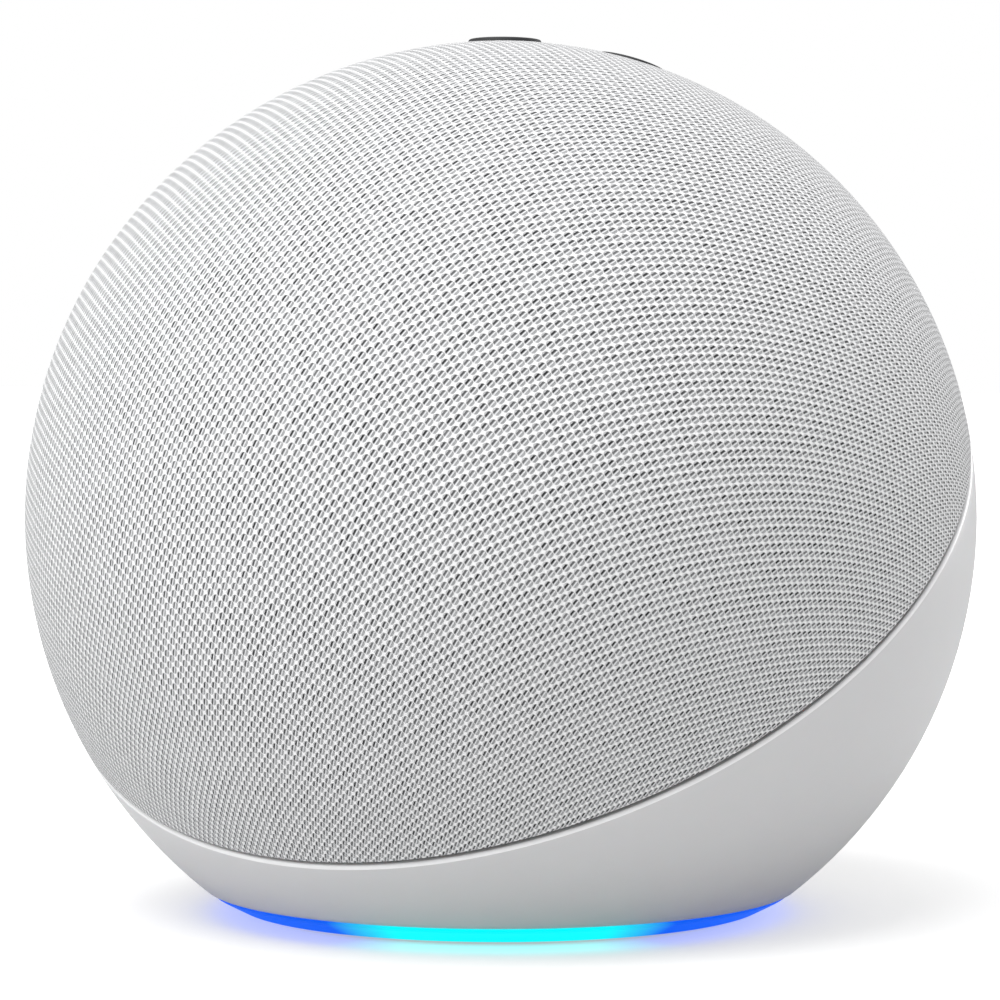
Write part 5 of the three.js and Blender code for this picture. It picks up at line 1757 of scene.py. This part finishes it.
@dataclass
class Studio:
    """A pale floor, soft light and the camera.

    Attributes:
        azimuth: The camera's direction from -Y towards +X.
        elevation: Its height above the ball's middle, as an angle.
        distance: From the ball's centre.
        lens: Focal length for a 36 mm sensor, in millimetres.
        shift: The frame's offset, in widths.
        floor_size: Half width of the floor.
        surround: Strength of the even light from all round.
        sweep: Distance at which the floor is as white as the backdrop.
        lift: How much whiter the floor looks than it lights the speaker.
        far_lift: The same at the sweep's distance and beyond.
        sensor: Width of the camera's sensor, in millimetres.
        lights: Each panel's place along the camera's right, up and back, its width and its watts.
    """

    azimuth: float = math.radians(30.6)
    elevation: float = math.radians(2.56)
    distance: float = 576 * MM
    lens: float = 136.04
    shift: Point = (-0.0008, 0.0168)
    floor_size: float = 6.0
    surround: float = 0.62
    sweep: float = 0.7
    lift: float = 0.38
    far_lift: float = 0.9
    sensor: float = 36
    lights: ClassVar[dict[str, tuple[tuple[float, float, float], float, float]]] = {
        "key_light": ((-0.35, 1.3, 0.55), 1.1, 18.0),
        "fill_light": ((-1.2, 0.1, 0.5), 0.8, 4.5),
        "rim_light": ((1.2, 0.45, -0.85), 0.8, 5.5),
    }

    def axes(self) -> tuple[Vector, Vector, Vector]:
        """The camera's right, up and back directions.

        Returns:
            Three unit vectors.
        """
        back = Vector((math.sin(self.azimuth) * math.cos(self.elevation),
                       -math.cos(self.azimuth) * math.cos(self.elevation), math.sin(self.elevation)))
        right = Vector((math.cos(self.azimuth), math.sin(self.azimuth), 0))
        return right, back.cross(right), back

    def build(self) -> None:
        """Sets the camera, the floor, the lights and the world."""
        self.camera()
        self.floor()
        self.world()
        for name, (place, size, power) in self.lights.items():
            self.light(name, place, size, power)
        bpy.context.scene.view_settings.view_transform = "Standard"

    def camera(self) -> None:
        """The camera, aimed at the ball's centre and shifted to frame it."""
        data = bpy.data.cameras.new("camera")
        data.lens = self.lens
        data.sensor_width = self.sensor
        data.shift_x, data.shift_y = self.shift
        data.clip_start = 10 * MM
        right, up, back = self.axes()
        obj = new_object("camera", data)
        turn = Matrix((right, up, back)).transposed().to_4x4()
        middle = Vector((0, 0, BALL.centre))
        obj.matrix_world = Matrix.Translation(middle + back * self.distance) @ turn
        bpy.context.scene.camera = obj

    def floor(self) -> None:
        """A plain pale floor."""
        size = self.floor_size
        mesh = bpy.data.meshes.new("floor")
        mesh.from_pydata([(-size, -size, 0), (size, -size, 0), (size, size, 0), (-size, size, 0)],
                         [], [(0, 1, 2, 3)])
        obj = new_object("floor", mesh)
        material = bpy.data.materials.new("pale_floor")
        material.use_nodes = True
        tree = material.node_tree
        surface = tree.nodes["Principled BSDF"]
        surface.inputs["Base Color"].default_value = linear("#D6D6D6")
        surface.inputs["Roughness"].default_value = 0.9
        # A paper sweep: it fades to white with distance, as the lit backdrop behind it does
        place = add_node(tree, "ShaderNodeTexCoord").outputs["Object"]
        away = add_node(tree, "ShaderNodeVectorMath", {0: place}, operation="LENGTH").outputs["Value"]
        fade = add_node(tree, "ShaderNodeMapRange", {
            "Value": away, "From Max": self.sweep, "To Min": self.lift, "To Max": self.far_lift,
        }).outputs[0]
        seen = add_node(tree, "ShaderNodeLightPath").outputs["Is Camera Ray"]
        glow = add_node(tree, "ShaderNodeMath", {0: fade, 1: seen}, operation="MULTIPLY").outputs[0]
        surface.inputs["Emission Color"].default_value = linear("#FFFFFF")
        tree.links.new(glow, surface.inputs["Emission Strength"])
        mesh.materials.append(material)

    def world(self) -> None:
        """An even white surround."""
        world = bpy.data.worlds.new("studio")
        world.use_nodes = True
        tree = world.node_tree
        back = tree.nodes["Background"]
        back.inputs[0].default_value = linear("#FFFFFF")
        seen = add_node(tree, "ShaderNodeLightPath").outputs["Is Camera Ray"]
        level = add_node(tree, "ShaderNodeMapRange",
                         {"Value": seen, "To Min": self.surround, "To Max": 1.0})
        tree.links.new(level.outputs[0], back.inputs[1])
        bpy.context.scene.world = world

    def light(self, name: str, place: tuple[float, float, float], size: float, power: float) -> None:
        """A large soft light that faces the ball.

        Args:
            name: The light's name.
            place: Its place along the camera's right, up and back directions.
            size: Width of the panel.
            power: Its power in watts.
        """
        data = bpy.data.lights.new(name, "AREA")
        data.size = size
        data.energy = power
        obj = new_object(name, data)
        towards = sum((axis * part for axis, part in zip(self.axes(), place)), Vector())
        turn = towards.to_track_quat("Z", "Y").to_matrix().to_4x4()
        obj.matrix_world = Matrix.Translation(Vector((0, 0, BALL.centre)) + towards) @ turn


# ---- Assembly ----------------------------------------------------------------------------


def main() -> None:
    """Builds the studio and the speaker, piece by piece."""
    logging.basicConfig(level=logging.INFO, format="%(name)s: %(message)s")
    Studio().build()
    Internals().build()
    Cover().build()
    Bowl().build()
    Base().build()
    Connectors().build()
    ButtonPad().build()
    Suspension("woofer_surround", Finishes.RUBBER, 32.4 * MM, 28.7 * MM, surround_outline).build()
    Suspension("spider", Finishes.SPIDER, 18.4 * MM, 11.0 * MM, spider_outline).build()


if __name__ == "__main__":
    main()
